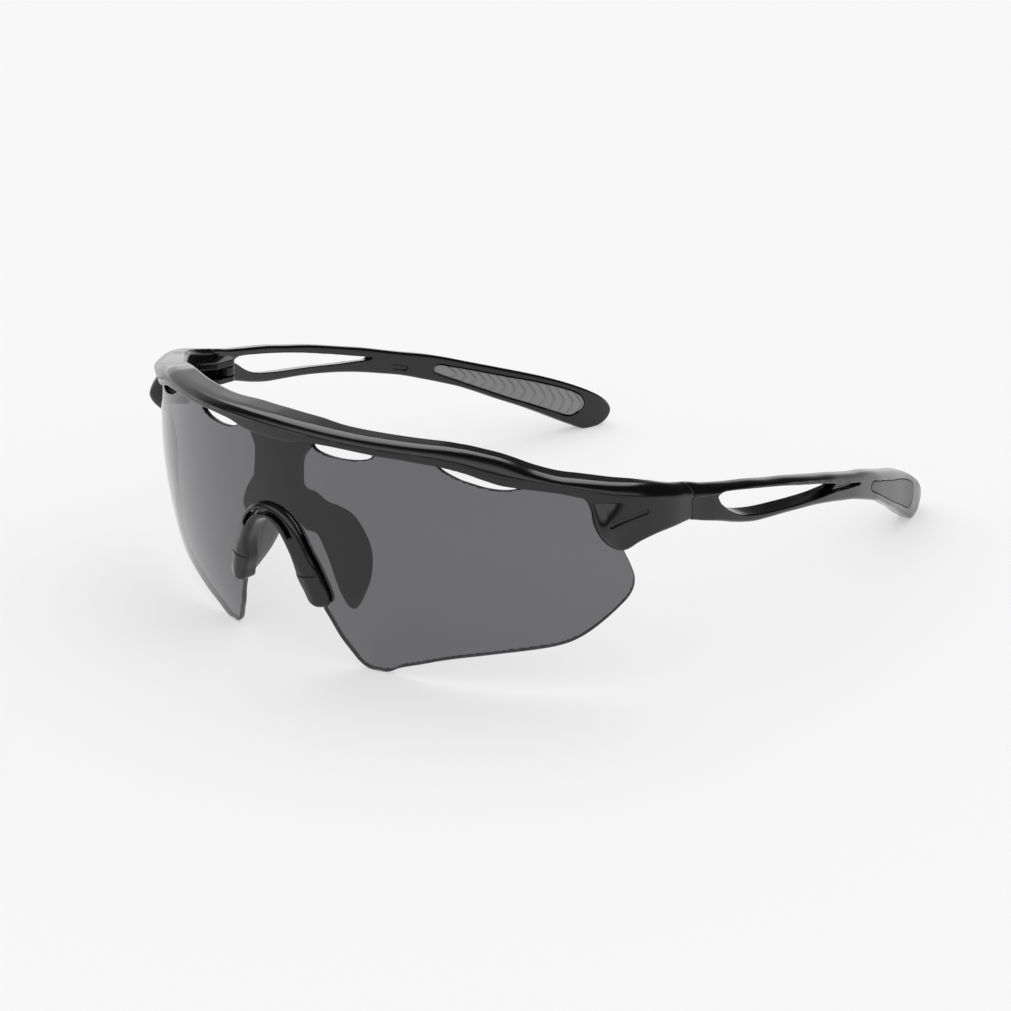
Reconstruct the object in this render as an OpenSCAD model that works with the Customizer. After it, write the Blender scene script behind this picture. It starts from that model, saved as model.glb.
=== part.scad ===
// Wraparound sport sunglasses: a one-piece shield lens hung from a brow bar,
// with a nose strut, two nose pads, a nose clip and two folding temples.
// Millimetres. +Z up, the lens faces -Y, +X is the wearer's left.
// Z = 0 is the surface the open glasses rest on.

/* [Lens] */
// Wall thickness of the shield lens
lens_t = 1.2; // [1.0:0.1:1.4]
// Slip clearance between the lens and the slot it is held in
lens_slip = 0.12; // [0.08:0.01:0.16]
// Depth of the inner two vents below the brow bar's lip
vent_drop = 1.6; // [1.2:0.1:2.0]

/* [Brow bar] */
// How far the brow bar's crest stands above its crease line
bar_crest = 1.8; // [1.5:0.1:2.1]
// How far the brow bar reaches behind the lens front
bar_depth = 4.8; // [4.4:0.1:5.2]

/* [Hinges] */
// Radius of the hinge ears and tongue
ear_r = 1.9; // [1.8:0.05:1.95]
// Radius of the hinge screw's shank
screw_r = 0.7; // [0.6:0.05:0.75]
// Running clearance of the tongue on the screw
pin_slip = 0.04; // [0.03:0.01:0.06]
// Gap at the seam between the frame and each temple
seam_gap = 0.1; // [0.08:0.02:0.14]

/* [Temples] */
// Thickness of each temple
temple_t = 4.2; // [4.0:0.1:4.4]
// Depth of the pocket for the inner grip in each temple
inlay_depth = 1.1; // [0.9:0.1:1.3]
// How far the inner grip stands proud of the temple
grip_proud = 0.35; // [0.2:0.05:0.5]
// Number of chevron grooves across the inner grip
chevrons = 13; // [9:1:15]

/* [Nose] */
// Half width of the strut behind the lens
strut_half_w = 6.3; // [6.0:0.1:6.6]
// Thickness of the strut
strut_t = 1.7; // [1.5:0.1:1.8]
// Thickness of each soft nose pad
pad_t = 1.7; // [1.5:0.1:1.9]
// How far the nose clip stands proud of the lens
clip_proud = 1.9; // [1.6:0.1:2.3]

/* [Hidden] */
$fn = 48;
shell_fn = 96;      // facets of the large lens-shaped surfaces
seam_y = -32.06;    // hinge seams, from the middle of the bounding box

frame_color = [0.05, 0.05, 0.055];
pad_color = [0.12, 0.12, 0.125];
grip_color = [0.45, 0.45, 0.46];
inlay_color = [0.16, 0.16, 0.165];
screw_color = [0.7, 0.7, 0.72];
insert_color = [0.75, 0.6, 0.3];

// ---- Shared helpers ----------------------------------------------------------
// Pieces are drawn with y = 0 at the hinge seams, then moved here
module at_origin() translate([0, seam_y, 0]) children();

module both() {
    children();
    mirror([1, 0, 0]) children();
}

// table lookup at x, blended with its neighbours a step away
function smooth(x, step, table) =
    (lookup(x - step, table) + 2*lookup(x, table) + lookup(x + step, table))/4;

// closes a right-hand (+X) outline with its mirror image; centreline points aren't repeated
function mirror_half(half) = concat(half,
    [for (i = [len(half)-1:-1:0]) if (half[i][0] != 0) [-half[i][0], half[i][1]]]);

// front-view (x, z) outline, extruded forwards from y
module front_extrude(outline, y = 5, depth = 60)
    translate([0, y, 0]) rotate([90, 0, 0]) linear_extrude(depth) polygon(outline);

// side-view (y, z) outline, extruded across the left temple
side_x = 30;
module side(outline, x_end = 80)
    translate([side_x, 0, 0]) rotate([90, 0, 90]) linear_extrude(x_end - side_x) polygon(outline);

// skin of triangles between rings of equal length, closed by a flat face at each end
module loft(rings) {
    last = len(rings) - 1;
    count = len(rings[0]);
    polyhedron([for (ring = rings) for (point = ring) point],
        concat([for (i = [0:last-1]) for (j = [0:count-1])
                    let(here = i*count + j, next = i*count + (j + 1)%count)
                    for (triangle = [[here, here + count, next + count],
                                     [here, next + count, next]]) triangle],
               [[for (j = [0:count-1]) j]],
               [[for (j = [count-1:-1:0]) last*count + j]]), convexity = 8);
}

// ---- Lens surface: a torus patch about a leaning upright axis ------------------
lens_across_r = 80.9;
lens_upright_r = 99.2;
lens_lean = 3.9;     // degrees, bottom towards the face
lens_y = -44.74;     // apex
lens_z = 25;

// level distance of a point in front of (+) the surface offset outside the lens front
function lens_dist(point, offset) = let(
    y = (point[1] - lens_y)*cos(lens_lean) + (point[2] - lens_z)*sin(lens_lean),
    z = -(point[1] - lens_y)*sin(lens_lean) + (point[2] - lens_z)*cos(lens_lean))
    norm([point[0], y - lens_across_r])
        - (lens_across_r - lens_upright_r + sqrt(pow(lens_upright_r + offset, 2) - z*z));

// shell of the torus from behind to in front of the lens front
module torus_shell(behind, front)
    translate([0, lens_y, lens_z]) rotate([lens_lean, 0, 0])
        translate([0, lens_across_r, 0]) rotate([0, 0, 180])
            rotate_extrude(angle = 180, $fn = shell_fn)
                translate([lens_across_r - lens_upright_r, 0]) intersection() {
                    difference() {
                        circle(r = lens_upright_r + front, $fn = shell_fn);
                        circle(r = lens_upright_r - behind, $fn = shell_fn);
                    }
                    translate([lens_upright_r - lens_across_r + 20, -40]) square([120, 80]);
                }

// ---- Lens ----------------------------------------------------------------------
// scallop in the top edge, traced towards the centre, its two ends raised
vent_x = 16.7;
vent_half_w = 6.6;
vent_z = 45.9;
inner_vent = [for (a = [180:-15:0])
    [vent_x - vent_half_w*cos(a),
     vent_z - (0.3 + vent_drop)*pow(sin(a), 0.8) + (a == 0 || a == 180 ? 0.2 : 0)]];
// half outline (x, z), from bottom centre round to top centre
lens_half = concat(
    [[0, 30.6], [2.2, 30.2], [4.4, 29.0], [6.2, 26.9], [7.8, 24.2], [8.9, 21.4], [9.8, 18.4],
     [10.4, 15.6], [10.9, 12.5], [12.2, 9.7], [13.7, 6.2], [15.3, 3.6], [16.6, 1.5], [17.6, 0.5],
     [18.7, 0], [22.3, 0], [25.5, 1.6], [29.7, 3.1], [33.6, 4.5], [37.3, 5.6], [40.9, 6.5],
     [44.2, 7.3], [47.4, 8.0], [50.5, 8.7], [53, 9.4], [54.9, 10.2], [56.4, 11.2], [57.9, 12.5],
     [59.3, 14.0], [60.7, 15.7], [62.1, 17.6], [63.2, 19.3], [63.9, 20.9], [64.25, 22.5],
     [64.3, 24.0], [64.1, 25.4], [63.8, 26.9], [63.2, 29.1], [62.7, 31.5], [62.2, 34],
     [61.8, 36.5], [61.2, 38.4], [60.2, 39.6], [58.6, 40.6], [56.5, 41.5], [54, 42.1],
     [51.6, 42.5], [50.2, 42.4], [48.9, 41.7], [47.3, 41.3], [45.4, 41.3], [43.5, 41.6],
     [41.3, 42.2], [39.4, 42.8], [37.7, 43.6], [36.6, 44.2], [35.6, 44.9], [34.4, 46.0],
     [33.2, 46.5], [30, 46.7], [26.5, 46.8], [24.4, 46.7]],
    inner_vent,
    [[9.2, 47.1], [4, 47.2], [0, 47.2]]);
lens_last = len(lens_half) - 1;

// outline point moved outwards; centreline points stay on the centreline
function grow_point(i, grow) = let(
    run = lens_half[min(i + 1, lens_last)] - lens_half[max(i - 1, 0)])
    i == 0 ? lens_half[i] - [0, grow]
    : i == lens_last ? lens_half[i] + [0, grow]
    : lens_half[i] + [run[1], -run[0]]*grow/norm(run);

module lens_solid(behind, front, grow) intersection() {
    torus_shell(behind, front);
    front_extrude(mirror_half([for (i = [0:lens_last]) grow_point(i, grow)]));
}

module lens() color([0.25, 0.25, 0.27, 0.6]) at_origin() lens_solid(lens_t, 0, 0);

// ---- Plan path of the brow bar and end lugs ------------------------------------
// an arc that follows the lens, a tight arc at the lug, then straight back to the seam
bar_r = 79;
bar_center_y = 34.8;
lug_angle = 53.4;    // heading where the tight arc starts
lug_r = 15.2;
// path lengths from the centre to the start and end of the tight arc
lug_start = bar_r*lug_angle*PI/180;
lug_end = lug_start + lug_r*(90 - lug_angle)*PI/180;
lug_start_xy = [bar_r*sin(lug_angle), bar_center_y - bar_r*cos(lug_angle)];
lug_end_xy = lug_start_xy + lug_r*[1 - sin(lug_angle), cos(lug_angle)];
seam_at = lug_end - lug_end_xy[1];     // path length to the seam, y = 0

// "along" is path length from the centre
function heading(along) = along < lug_start ? along/bar_r*180/PI
    : along < lug_end ? lug_angle + (along - lug_start)/lug_r*180/PI
    : 90;
function path_xy(along) = let(turn = heading(along))
    along < lug_start ? [bar_r*sin(turn), bar_center_y - bar_r*cos(turn)]
    : along < lug_end
        ? lug_start_xy + lug_r*[sin(turn) - sin(lug_angle), cos(lug_angle) - cos(turn)]
    : [lug_end_xy[0], lug_end_xy[1] + along - lug_end];
// point at signed path length, out from the path, height z
function bar_point(along, out, z) = let(
    sign_x = along < 0 ? -1 : 1,
    turn = heading(abs(along)),
    xy = path_xy(abs(along)))
    [sign_x*(xy[0] + out*sin(turn)), xy[1] - out*cos(turn), z];

// how far out from the path the surface offset outside the lens front lies
function lens_out(along, z, offset, steps = 4, out = 0) = steps == 0 ? out
    : lens_out(along, z, offset, steps - 1, out - lens_dist(bar_point(along, out, z), offset));

// ---- Brow bar --------------------------------------------------------------------
// tables of [along, value]
// height of the crease line
crease_table = [
    [-10,47.8], [0,47.9], [9,47.8], [18,47.5], [26,47.3], [34,47.1], [38,46.8], [41.6,46.1],
    [45.2,44.9], [48.8,43.9], [52.5,43.7], [56,43.4], [59.6,42.8], [63.2,42.1], [67,41.2],
    [70.5,40.4], [74.2,39.8], [78,39.0], [82,38.0], [86.6,36.9], [90,36.5]];
// rise of the crest above the crease, for bar_crest = crest_base
crest_base = 1.8;
crest_table = [
    [-10,1.8], [0,1.8], [20,1.7], [34,1.75], [40,2.1], [44.6,2.8], [48.5,3.2], [51,2.6], [54,1.7],
    [57,1.2], [60,1.25], [66,1.9], [72,2.2], [78,2.0], [83,2.2], [86.6,2.7], [90,2.7]];
// height of the lower lip in front of the lens
lip_table = [
    [-10,46.0], [0,45.4], [7,45.6], [9,46.0], [11,46.3], [17,46.4], [22,46.2], [26,46.0],
    [30,45.9], [34,45.6], [37.5,45.3], [41.4,44.6], [43.2,44.1], [45,43.5], [47,42.9],
    [48.8,42.4], [52.4,41.9], [56,41.5], [59.7,41.0], [63.3,40.1], [64.9,39.7], [65.3,38.0],
    [65.6,35.2], [66.5,33.3], [67.6,31.6], [68.9,30.2], [70.4,29.5], [71.7,29.4], [72.8,29.8],
    [74.4,30.8], [76.2,31.5], [78.1,32.0], [80.2,32.3], [82.5,32.4], [86.6,32.4], [90,32.4]];
// height of the underside behind the lens
under_table = [
    [0,45.2], [10,45.3], [30,45.0], [38,44.2], [45,42.8], [50,41.6], [58,40.6], [63,39.8],
    [65,38.6], [66.5,34.5], [70,31.2], [74,31.2], [78,32.0], [82.5,32.4], [90,32.4]];
// swell of the end lug's outer face below the crease
bulge_table = [
    [64.9,0], [65.6,0.5], [66.6,1.4], [67.8,2.2], [69,2.4], [71,2.2], [74,1.4], [78,0.5], [82,0]];
// reach outside the path
outer_table = [[0,2.0], [56,2.0], [63,2.3], [70,2.5], [74,2.35], [80,1.85], [86.6,1.63]];
// reach behind the path
inner_table = [
    [0,bar_depth + 1], [9,bar_depth + 1], [15,bar_depth], [58,bar_depth], [66,4.6], [76,3.6],
    [83,2.8], [86.6,2.57]];
// top of the lens slot where it drops to close just past the lens's outer edge
slot_table = [
    [63.2,41.95], [64.5,41.75], [67.5,40.85], [69.9,39.9], [71.4,38.7], [72.3,36.8],
    [72.9,34.4], [73.6,31.8], [74.2,30.4]];
slot_drop = 63.2;
slot_end = 74.2;
slot_min_h = 0.08;

function crease(along) = smooth(along, 1.6, crease_table);
function slot_top(along) = along < slot_drop ? crease(along) - 0.35
    : along > slot_end ? lookup(along, lip_table) + slot_min_h
    : lookup(along, slot_table);
// each slot wall shifts by this past the slot's end
function slot_shift(along) = along > slot_end ? 0.6 : 0;
function slot_back(along, z) =
    lens_out(min(along, 74), z, -lens_t - lens_slip) + slot_shift(along);
function slot_front(along, z) = lens_out(min(along, 74), z, lens_slip) - slot_shift(along);

// closed cross-section of [out, z] points
function bar_section(along) = let(
    outer = lookup(along, outer_table),
    inner = -lookup(along, inner_table),
    crease_z = crease(along),
    rise = smooth(along, 1.6, crest_table)*bar_crest/crest_base,
    crest_z = crease_z + rise,
    lip_z = lookup(along, lip_table),
    under_z = lookup(along, under_table),
    slot_z = max(slot_top(along), max(lip_z, under_z) + slot_min_h),
    bulge = 0.05 + lookup(along, bulge_table),
    face = outer - 0.45,
    face_z = lip_z + 0.35,
    face_h = crease_z - 0.55 - face_z)
    [// crease, over the crest and down the back
     [outer, crease_z], [outer - 0.55, crease_z + 0.35*rise], [outer - 1.9, crest_z - 0.18*rise],
     [outer - 3.3, crest_z], [inner + 1.1, crest_z - 0.35], [inner + 0.15, crest_z - 1.5],
     [inner, (crest_z + under_z)/2], [inner + 0.15, under_z + 0.7],
     // underside and the slot
     [max(slot_back(along, under_z) - 0.5, inner + 1.4), under_z],
     [slot_back(along, under_z), under_z + 0.02],
     [slot_back(along, (under_z + slot_z)/2), (under_z + slot_z)/2],
     [slot_back(along, slot_z), slot_z], [slot_front(along, slot_z), slot_z],
     [slot_front(along, (lip_z + slot_z)/2), (lip_z + slot_z)/2],
     [slot_front(along, lip_z), lip_z + 0.02],
     // lip and outer face
     [outer - 0.85, lip_z], [outer - 0.5, face_z],
     [face - 0.01 + 0.7*bulge, face_z + 0.22*face_h], [face + bulge, face_z + 0.5*face_h],
     [face + 0.62*bulge, face_z + 0.78*face_h], [face, face_z + face_h]];

// section places from the centre to the seam, then on both sides from +X to -X
stations = concat([for (along = [0:2.4:60]) along],
    [61.5, 63, 64.2, 64.9, 65.3, 65.6, 66.1, 66.6, 67.2, 67.8, 68.6, 69.4, 70.4, 71.4, 72.2, 72.9,
     73.6, 74.1, 75, 76.6, 78.2, 80, 82, 84, seam_at - seam_gap/2]);
all_stations = concat([for (i = [len(stations)-1:-1:0]) stations[i]],
    [for (i = [1:len(stations)-1]) -stations[i]]);

// ---- Hinge sizes -------------------------------------------------------------------
hinge_x = 62.0;
hinge_y = 1.7;
// height ranges of the temple's tongue and the frame's ears below and above it
tongue = [34, 36];
tongue_gap = 0.1;
ear_h = 1.3;
ear_lo = [tongue[0] - tongue_gap - ear_h, tongue[0] - tongue_gap];
ear_hi = [tongue[1] + tongue_gap, tongue[1] + tongue_gap + ear_h];
head_r = 1.15;
head_h = 0.72;
screw_len = 4.4;
screw_lift = 0.05;              // screw's end above the lower ear's underside
driver_slot = [1.5, 0.28, 0.9];
insert_r = 1.2;
insert_h = 1.1;
insert_gap = 0.02;              // at each end of the insert
insert_slip = 0.01;
drill = 1;                      // how far holes start outside the part

// upright cylinder on the hinge axis
module on_hinge(radius, z, height)
    translate([hinge_x, hinge_y, z]) cylinder(r = radius, h = height);

module ear(range) translate([0, 0, range[0]]) linear_extrude(range[1] - range[0]) union() {
    translate([hinge_x, hinge_y]) circle(r = ear_r);
    polygon([[hinge_x - ear_r, hinge_y], [hinge_x - ear_r + 0.3, -2.2], [hinge_x + 0.6, -5.2],
             [hinge_x + 3.2, -6.6], [hinge_x + 4.2, -6.6], [hinge_x + 4.2, -seam_gap/2],
             [hinge_x + 1.5, -seam_gap/2], [hinge_x + ear_r - 0.15, 0.9],
             [hinge_x + ear_r, hinge_y]]);
}

// ---- Brow frame --------------------------------------------------------------------
strut_top = 47.2;
foot_flare = 2;      // the strut's foot is this much wider on each side
pocket_slip = 0.06;
pocket_half_w = strut_half_w + foot_flare + pocket_slip;
pocket_y = -43.2;
pocket_z = 43;

module brow_frame() color(frame_color) at_origin() difference() {
    union() {
        loft([for (along = all_stations)
            [for (point = bar_section(abs(along))) bar_point(along, point[0], point[1])]]);
        both() {
            ear(ear_lo);
            ear(ear_hi);
        }
    }
    // pocket for the top of the nose strut, open to the lens slot
    translate([-pocket_half_w, pocket_y, pocket_z])
        cube([2*pocket_half_w, lens_t + strut_t + 0.4, strut_top + pocket_slip - pocket_z]);
    both() {
        // screw shank, screw head and insert
        on_hinge(screw_r + 0.03, ear_lo[0] - drill, 4);
        on_hinge(head_r + 0.1, ear_lo[0] - drill, drill + 0.8);
        on_hinge(insert_r + insert_slip, ear_hi[0] - drill, drill + insert_h + 2*insert_gap);
        // room for the tongue to swing in
        on_hinge(ear_r + 0.25, tongue[0] - tongue_gap, tongue[1] - tongue[0] + 2*tongue_gap);
    }
}

// ---- Nose strut --------------------------------------------------------------------
// half outline (x, z), from bottom centre to the top
strut_half = [
    [0, 30.4], [2.8, 30.2], [5.0, 29.5], [6.6, 28.4], [7.7, 27.2], [8.6, 26.6], [9.2, 27.4],
    [9.4, 28.8], [8.9, 30.2], [7.9, 31.4], [6.9, 32.6], [strut_half_w, 33.8],
    [strut_half_w, 41.6], [strut_half_w + 1.1, 43.2], [strut_half_w + foot_flare, 44.6],
    [strut_half_w + foot_flare, strut_top]];

// wings lie in planes that splay backwards and downwards
wing_start = [7.8, -41.7, 31.0];
wing_back = [0.13, 0.99, 0];
wing_down = [0.35, 0.06, -0.94];
wing_normal = cross(wing_back, wing_down)/norm(cross(wing_back, wing_down));   // to the nose
wing_t = 1.4;
// square axes in the wing's plane
flat_x = wing_back/norm(wing_back);
flat_y = cross(wing_normal, flat_x);
// outlines of the wing and the pad, [back, down]
wing_edge = [
    [0.6, -1.8], [2.4, -2.6], [4.4, -2.2], [6.2, -0.8], [8.0, 1.6], [9.3, 4.6], [10.0, 7.6],
    [10.0, 10.4], [9.3, 12.9], [8.0, 15.2], [6.2, 17.2], [4.6, 18.4], [3.4, 18.7], [2.6, 17.9],
    [1.9, 15.6], [1.5, 12.0], [1.2, 8.0], [0.8, 5.0], [0.0, 3.2], [-0.6, 2.2], [-0.4, 0.4]];
pad_edge = [
    [3.0, -1.6], [4.8, -1.2], [6.8, 0.0], [8.8, 2.2], [10.2, 4.9], [10.9, 7.6], [10.9, 10.4],
    [10.2, 13.2], [8.8, 15.8], [6.6, 18.2], [4.6, 19.9], [3.2, 20.5], [2.1, 19.8], [1.3, 17.2],
    [1.0, 13.0], [1.1, 8.4], [1.5, 4.4], [2.2, 1.0]];

module wing() multmatrix([for (i = [0:2]) [flat_x[i], flat_y[i], wing_normal[i], wing_start[i]],
                          [0, 0, 0, 1]])
    translate([0, 0, -wing_t]) linear_extrude(wing_t)
        polygon([for (edge = wing_edge) let(spot = edge[0]*wing_back + edge[1]*wing_down)
            [spot*flat_x, spot*flat_y]]);

// column that follows the back of the lens, with its foot in the bar's pocket, and two wings
module nose_strut() color([0.06, 0.06, 0.065]) at_origin() union() {
    intersection() {
        torus_shell(lens_t + lens_slip + strut_t, -lens_t - lens_slip);
        front_extrude(mirror_half(strut_half));
    }
    both() wing();
}

// ---- Nose pads -----------------------------------------------------------------------
pad_gap = 0.03;      // between the pad and the wing
pad_center = [5.6, 9.6];
// [share of the thickness, scale of the outline]
pad_rings = [[0, 0.97], [0.3, 1], [0.7, 1], [1, 0.86]];

module pad() loft([for (ring = pad_rings) [for (edge = pad_edge)
    let(spot = pad_center + (edge - pad_center)*ring[1])
    wing_start + spot[0]*wing_back + spot[1]*wing_down + (pad_gap + ring[0]*pad_t)*wing_normal]]);

module nose_pad_left() color(pad_color) at_origin() pad();
module nose_pad_right() color(pad_color) at_origin() mirror([1, 0, 0]) pad();

// ---- Nose clip: arch straddling the lens's nose cut-out, with feet ---------------------
// half outline (x, z): outer edge down from the top, then inner edge back up
clip_half = [
    [0, 31.7], [2.6, 31.3], [4.7, 30.4], [6.4, 29.0], [7.8, 27.3], [9.2, 25.2], [10.7, 23.2],
    [12.3, 21.2], [13.4, 19.0], [14.1, 16.8], [14.4, 14.8], [14.2, 13.5], [13.6, 13.0],
    [9.3, 13.2], [8.0, 15.8], [6.7, 18.4], [6.4, 20.4], [5.8, 22.8], [4.5, 25.3], [3.1, 27.3],
    [1.6, 28.5], [0, 29.0]];
// slot between the two ribs of the arch
rib_slot_half = [
    [0, 30.8], [2.4, 30.4], [4.2, 29.5], [5.6, 28.2], [6.6, 26.6], [5.8, 26.0], [4.8, 27.5],
    [3.6, 28.7], [1.9, 29.6], [0, 29.9]];
clip_y = -44.0;
clip_z = 22;
clip_lean = 5.6;
clip_h = 40;

// slice of a leaning tube that follows the lens's lower middle
module clip_bulk()
    translate([0, clip_y, clip_z]) rotate([clip_lean, 0, 0])
        translate([0, lens_across_r, -clip_h/2]) difference() {
            cylinder(r = lens_across_r + clip_proud, h = clip_h, $fn = shell_fn);
            translate([0, 0, -1])
                cylinder(r = lens_across_r - lens_t, h = clip_h + 2, $fn = shell_fn);
            translate([-100, -40, -1]) cube([200, 200, clip_h + 2]);
        }

module nose_clip() color([0.04, 0.04, 0.045]) at_origin() difference() {
    intersection() {
        clip_bulk();
        front_extrude(mirror_half(clip_half));
    }
    // the lens it straddles, with clearance
    lens_solid(lens_t + 0.1, 0.14, 0.08);
    // room for the strut behind the top of the arch
    translate([-20, -43.75, 25.8]) cube([40, 10, 10]);
    front_extrude(mirror_half(rib_slot_half), y = -30, depth = 30);
}

// ---- Temples -----------------------------------------------------------------------------
// side-view outlines (y, z)
temple_top = [
    [seam_gap/2, 39.6], [2.5, 38.9], [5, 38.2], [11, 37.0], [18, 35.8], [24, 34.5], [30, 33.3],
    [35.5, 32.0], [41, 30.6], [47, 29.1], [52.6, 27.5], [58, 26.0], [63.5, 24.6], [68.7, 23.0],
    [73.6, 21.3], [78.3, 19.7], [83, 18.1], [87.7, 16.5], [92.4, 14.8], [97.3, 12.8],
    [102, 10.6], [105, 9.0], [107.6, 7.4], [109.6, 5.8], [110.8, 4.2]];
temple_bottom = [
    [111.0, 3.0], [110.3, 1.7], [108.9, 0.7], [107, 0.1], [106, 0], [103, 0], [101.4, 0.6],
    [99.5, 1.6], [97.3, 2.7], [93.6, 4.7], [91.2, 6.0], [86.5, 8.4], [81.8, 10.6], [77, 13.0],
    [72.3, 15.2], [67.3, 17.1], [62, 19.0], [56.7, 20.8], [51, 22.3], [45.4, 23.7],
    [39.6, 24.9], [34, 25.8], [28, 26.6], [22, 27.2], [17.5, 27.7], [12.6, 28.8], [8, 30.2],
    [3.5, 31.4], [seam_gap/2, 32.4]];
opening = [
    [5.8, 35.5], [7.4, 36.0], [9.6, 35.9], [14, 35.1], [21.7, 33.6], [28, 32.2], [33.5, 30.8],
    [39, 29.4], [43.5, 28.1], [46.3, 27.3], [47.4, 26.8], [46.5, 26.4], [43.5, 26.4],
    [39, 26.8], [33.4, 27.5], [27.6, 28.2], [22.5, 28.8], [18, 29.5], [14, 30.4],
    [10.6, 31.8], [8, 33.4]];
groove = [[49.5, 26.2], [57.5, 23.9], [57.9, 23.4], [57.3, 23.3], [49.5, 24.9]];
inlay_top = [
    [66.2, 21.6], [70, 20.5], [74.4, 19.1], [79.1, 17.5], [83.8, 15.9], [88.5, 14.4],
    [93.2, 12.7], [96.9, 11.2], [99.6, 9.9], [101.4, 8.6]];
inlay_bottom = [
    [102.3, 6.6], [101.6, 5.4], [100.2, 4.7], [98.4, 4.4], [95.7, 5.5], [93.2, 6.7],
    [88.5, 8.9], [83.8, 11.0], [79.1, 13.3], [74.4, 15.6], [70, 17.8], [66.4, 19.6],
    [65.4, 20.2], [65.2, 21.0]];
// lower ends of the chevrons are set from this [y, z] table
chevron_bottom = [[65, 20], [70, 17.8], [79.1, 13.3], [88.5, 8.9], [95.7, 5.5], [102, 4.6]];
// plan centreline, [y, x]
center_table = [
    [-10, 64.9], [0, 65.95], [10, 67.2], [20, 67.75], [32, 67.5], [45, 66.1], [58, 63.7],
    [70, 60.4], [82, 55.7], [95, 50.0], [105, 46.6], [112, 44.7], [118, 43.4]];
// [y, share of temple_t]
thickness_table = [
    [0, 1], [12, 0.97], [40, 0.9], [60, 0.92], [90, 1], [102, 0.98], [107, 0.8], [110, 0.55],
    [111, 0.4]];
temple_ys = concat([seam_gap/2], [for (y = [4:4:104]) y], [106.5, 109, 111]);
inlay_ys = [for (y = [62:4:106]) y];
groove_ys = [for (y = [44:4:64]) y];
pocket_depth = 0.6;      // outer inlay pocket and outer groove
inlay_floor_gap = 0.03;
inlay_edge_gap = 0.05;
chevron_depth = 0.4;

// a level is [half thicknesses, extra] outwards from the centreline; -1 is the inner face
function temple_x(y, level) = smooth(y, 2.5, center_table)
    + level[0]*temple_t/2*lookup(y, thickness_table) + level[1];

// upright band between two levels
module band(from, to, ys = temple_ys) linear_extrude(60) polygon(concat(
    [for (y = ys) [temple_x(y, from), y]],
    [for (i = [len(ys)-1:-1:0]) [temple_x(ys[i], to), ys[i]]]));

// clockwise closed outline moved outwards
function grow_loop(points, grow) = let(count = len(points)) [for (i = [0:count-1])
    let(run = points[(i + 1)%count] - points[(i + count - 1)%count])
    points[i] + [-run[1], run[0]]*grow/norm(run)];

module inlay(from, to, grow = 0) intersection() {
    band(from, to, inlay_ys);
    side(grow_loop(concat(inlay_top, inlay_bottom), grow));
}

module temple() difference() {
    union() {
        difference() {
            intersection() {
                band([-1, 0], [1, 0]);
                difference() {
                    side(concat(temple_top, temple_bottom));
                    side(opening);
                }
            }
            inlay([-1, -3], [-1, inlay_depth], inlay_edge_gap);
            inlay([1, -pocket_depth], [1, 3], inlay_edge_gap);
            // tapering groove behind the opening on the outer face
            intersection() {
                band([1, -pocket_depth], [1, 3], groove_ys);
                side(groove);
            }
            // the frame's ears swing here
            on_hinge(ear_r + 0.22, ear_lo[0] - 0.12, ear_h + 0.2);
            on_hinge(ear_r + 0.22, ear_hi[0] - 0.08, ear_h + 0.3);
        }
        translate([0, 0, tongue[0]]) linear_extrude(tongue[1] - tongue[0]) union() {
            translate([hinge_x, hinge_y]) circle(r = ear_r);
            polygon([[hinge_x, hinge_y + ear_r], [66, 7.5], [66, seam_gap/2 + 0.3],
                     [hinge_x + 1.5, 0.55], [hinge_x, hinge_y]]);
        }
    }
    on_hinge(screw_r + pin_slip, 30, 12);
}
module temple_left() color(frame_color) at_origin() temple();
module temple_right() color(frame_color) at_origin() mirror([1, 0, 0]) temple();

// cutter for a groove across the grip, pointing to the temple's tip
module chevron(y) {
    top = lookup(y, inlay_top);
    bottom = lookup(y, chevron_bottom);
    middle = (top + bottom)/2 - 0.5;
    side([[y - 0.55, top + 0.5], [y + 1.5, middle], [y - 2.0, bottom - 0.8],
          [y - 1.5, bottom - 0.8], [y + 2.05, middle], [y - 0.05, top + 0.5]], 68);
}

module grip() difference() {
    inlay([-1, -grip_proud], [-1, inlay_depth - inlay_floor_gap]);
    intersection() {
        band([-1, -3], [-1, chevron_depth - grip_proud], inlay_ys);
        union() for (i = [0:chevrons-1]) chevron(69 + i*31/chevrons);
    }
}
module temple_grip_left() color(grip_color) at_origin() grip();
module temple_grip_right() color(grip_color) at_origin() mirror([1, 0, 0]) grip();

module outer_inlay() inlay([1, inlay_floor_gap - pocket_depth], [1, 0.08]);
module temple_inlay_left() color(inlay_color) at_origin() outer_inlay();
module temple_inlay_right() color(inlay_color) at_origin() mirror([1, 0, 0]) outer_inlay();

// ---- Hinge hardware ------------------------------------------------------------------------
// headed screw, entered from below, with a cross slot
module screw() translate([hinge_x, hinge_y, 0]) difference() {
    translate([0, 0, ear_lo[0] + screw_lift]) union() {
        cylinder(r = head_r, h = head_h);
        cylinder(r = screw_r, h = screw_len);
    }
    for (a = [0, 90]) rotate([0, 0, a])
        translate([-driver_slot[0]/2, -driver_slot[1]/2, ear_lo[0] - 0.5]) cube(driver_slot);
}
module hinge_screw_left() color(screw_color) at_origin() screw();
module hinge_screw_right() color(screw_color) at_origin() mirror([1, 0, 0]) screw();

module insert() translate([hinge_x, hinge_y, ear_hi[0] + insert_gap]) difference() {
    cylinder(r = insert_r, h = insert_h);
    translate([0, 0, -drill]) cylinder(r = screw_r + insert_slip, h = 4);
}
module hinge_insert_left() color(insert_color) at_origin() insert();
module hinge_insert_right() color(insert_color) at_origin() mirror([1, 0, 0]) insert();

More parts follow.
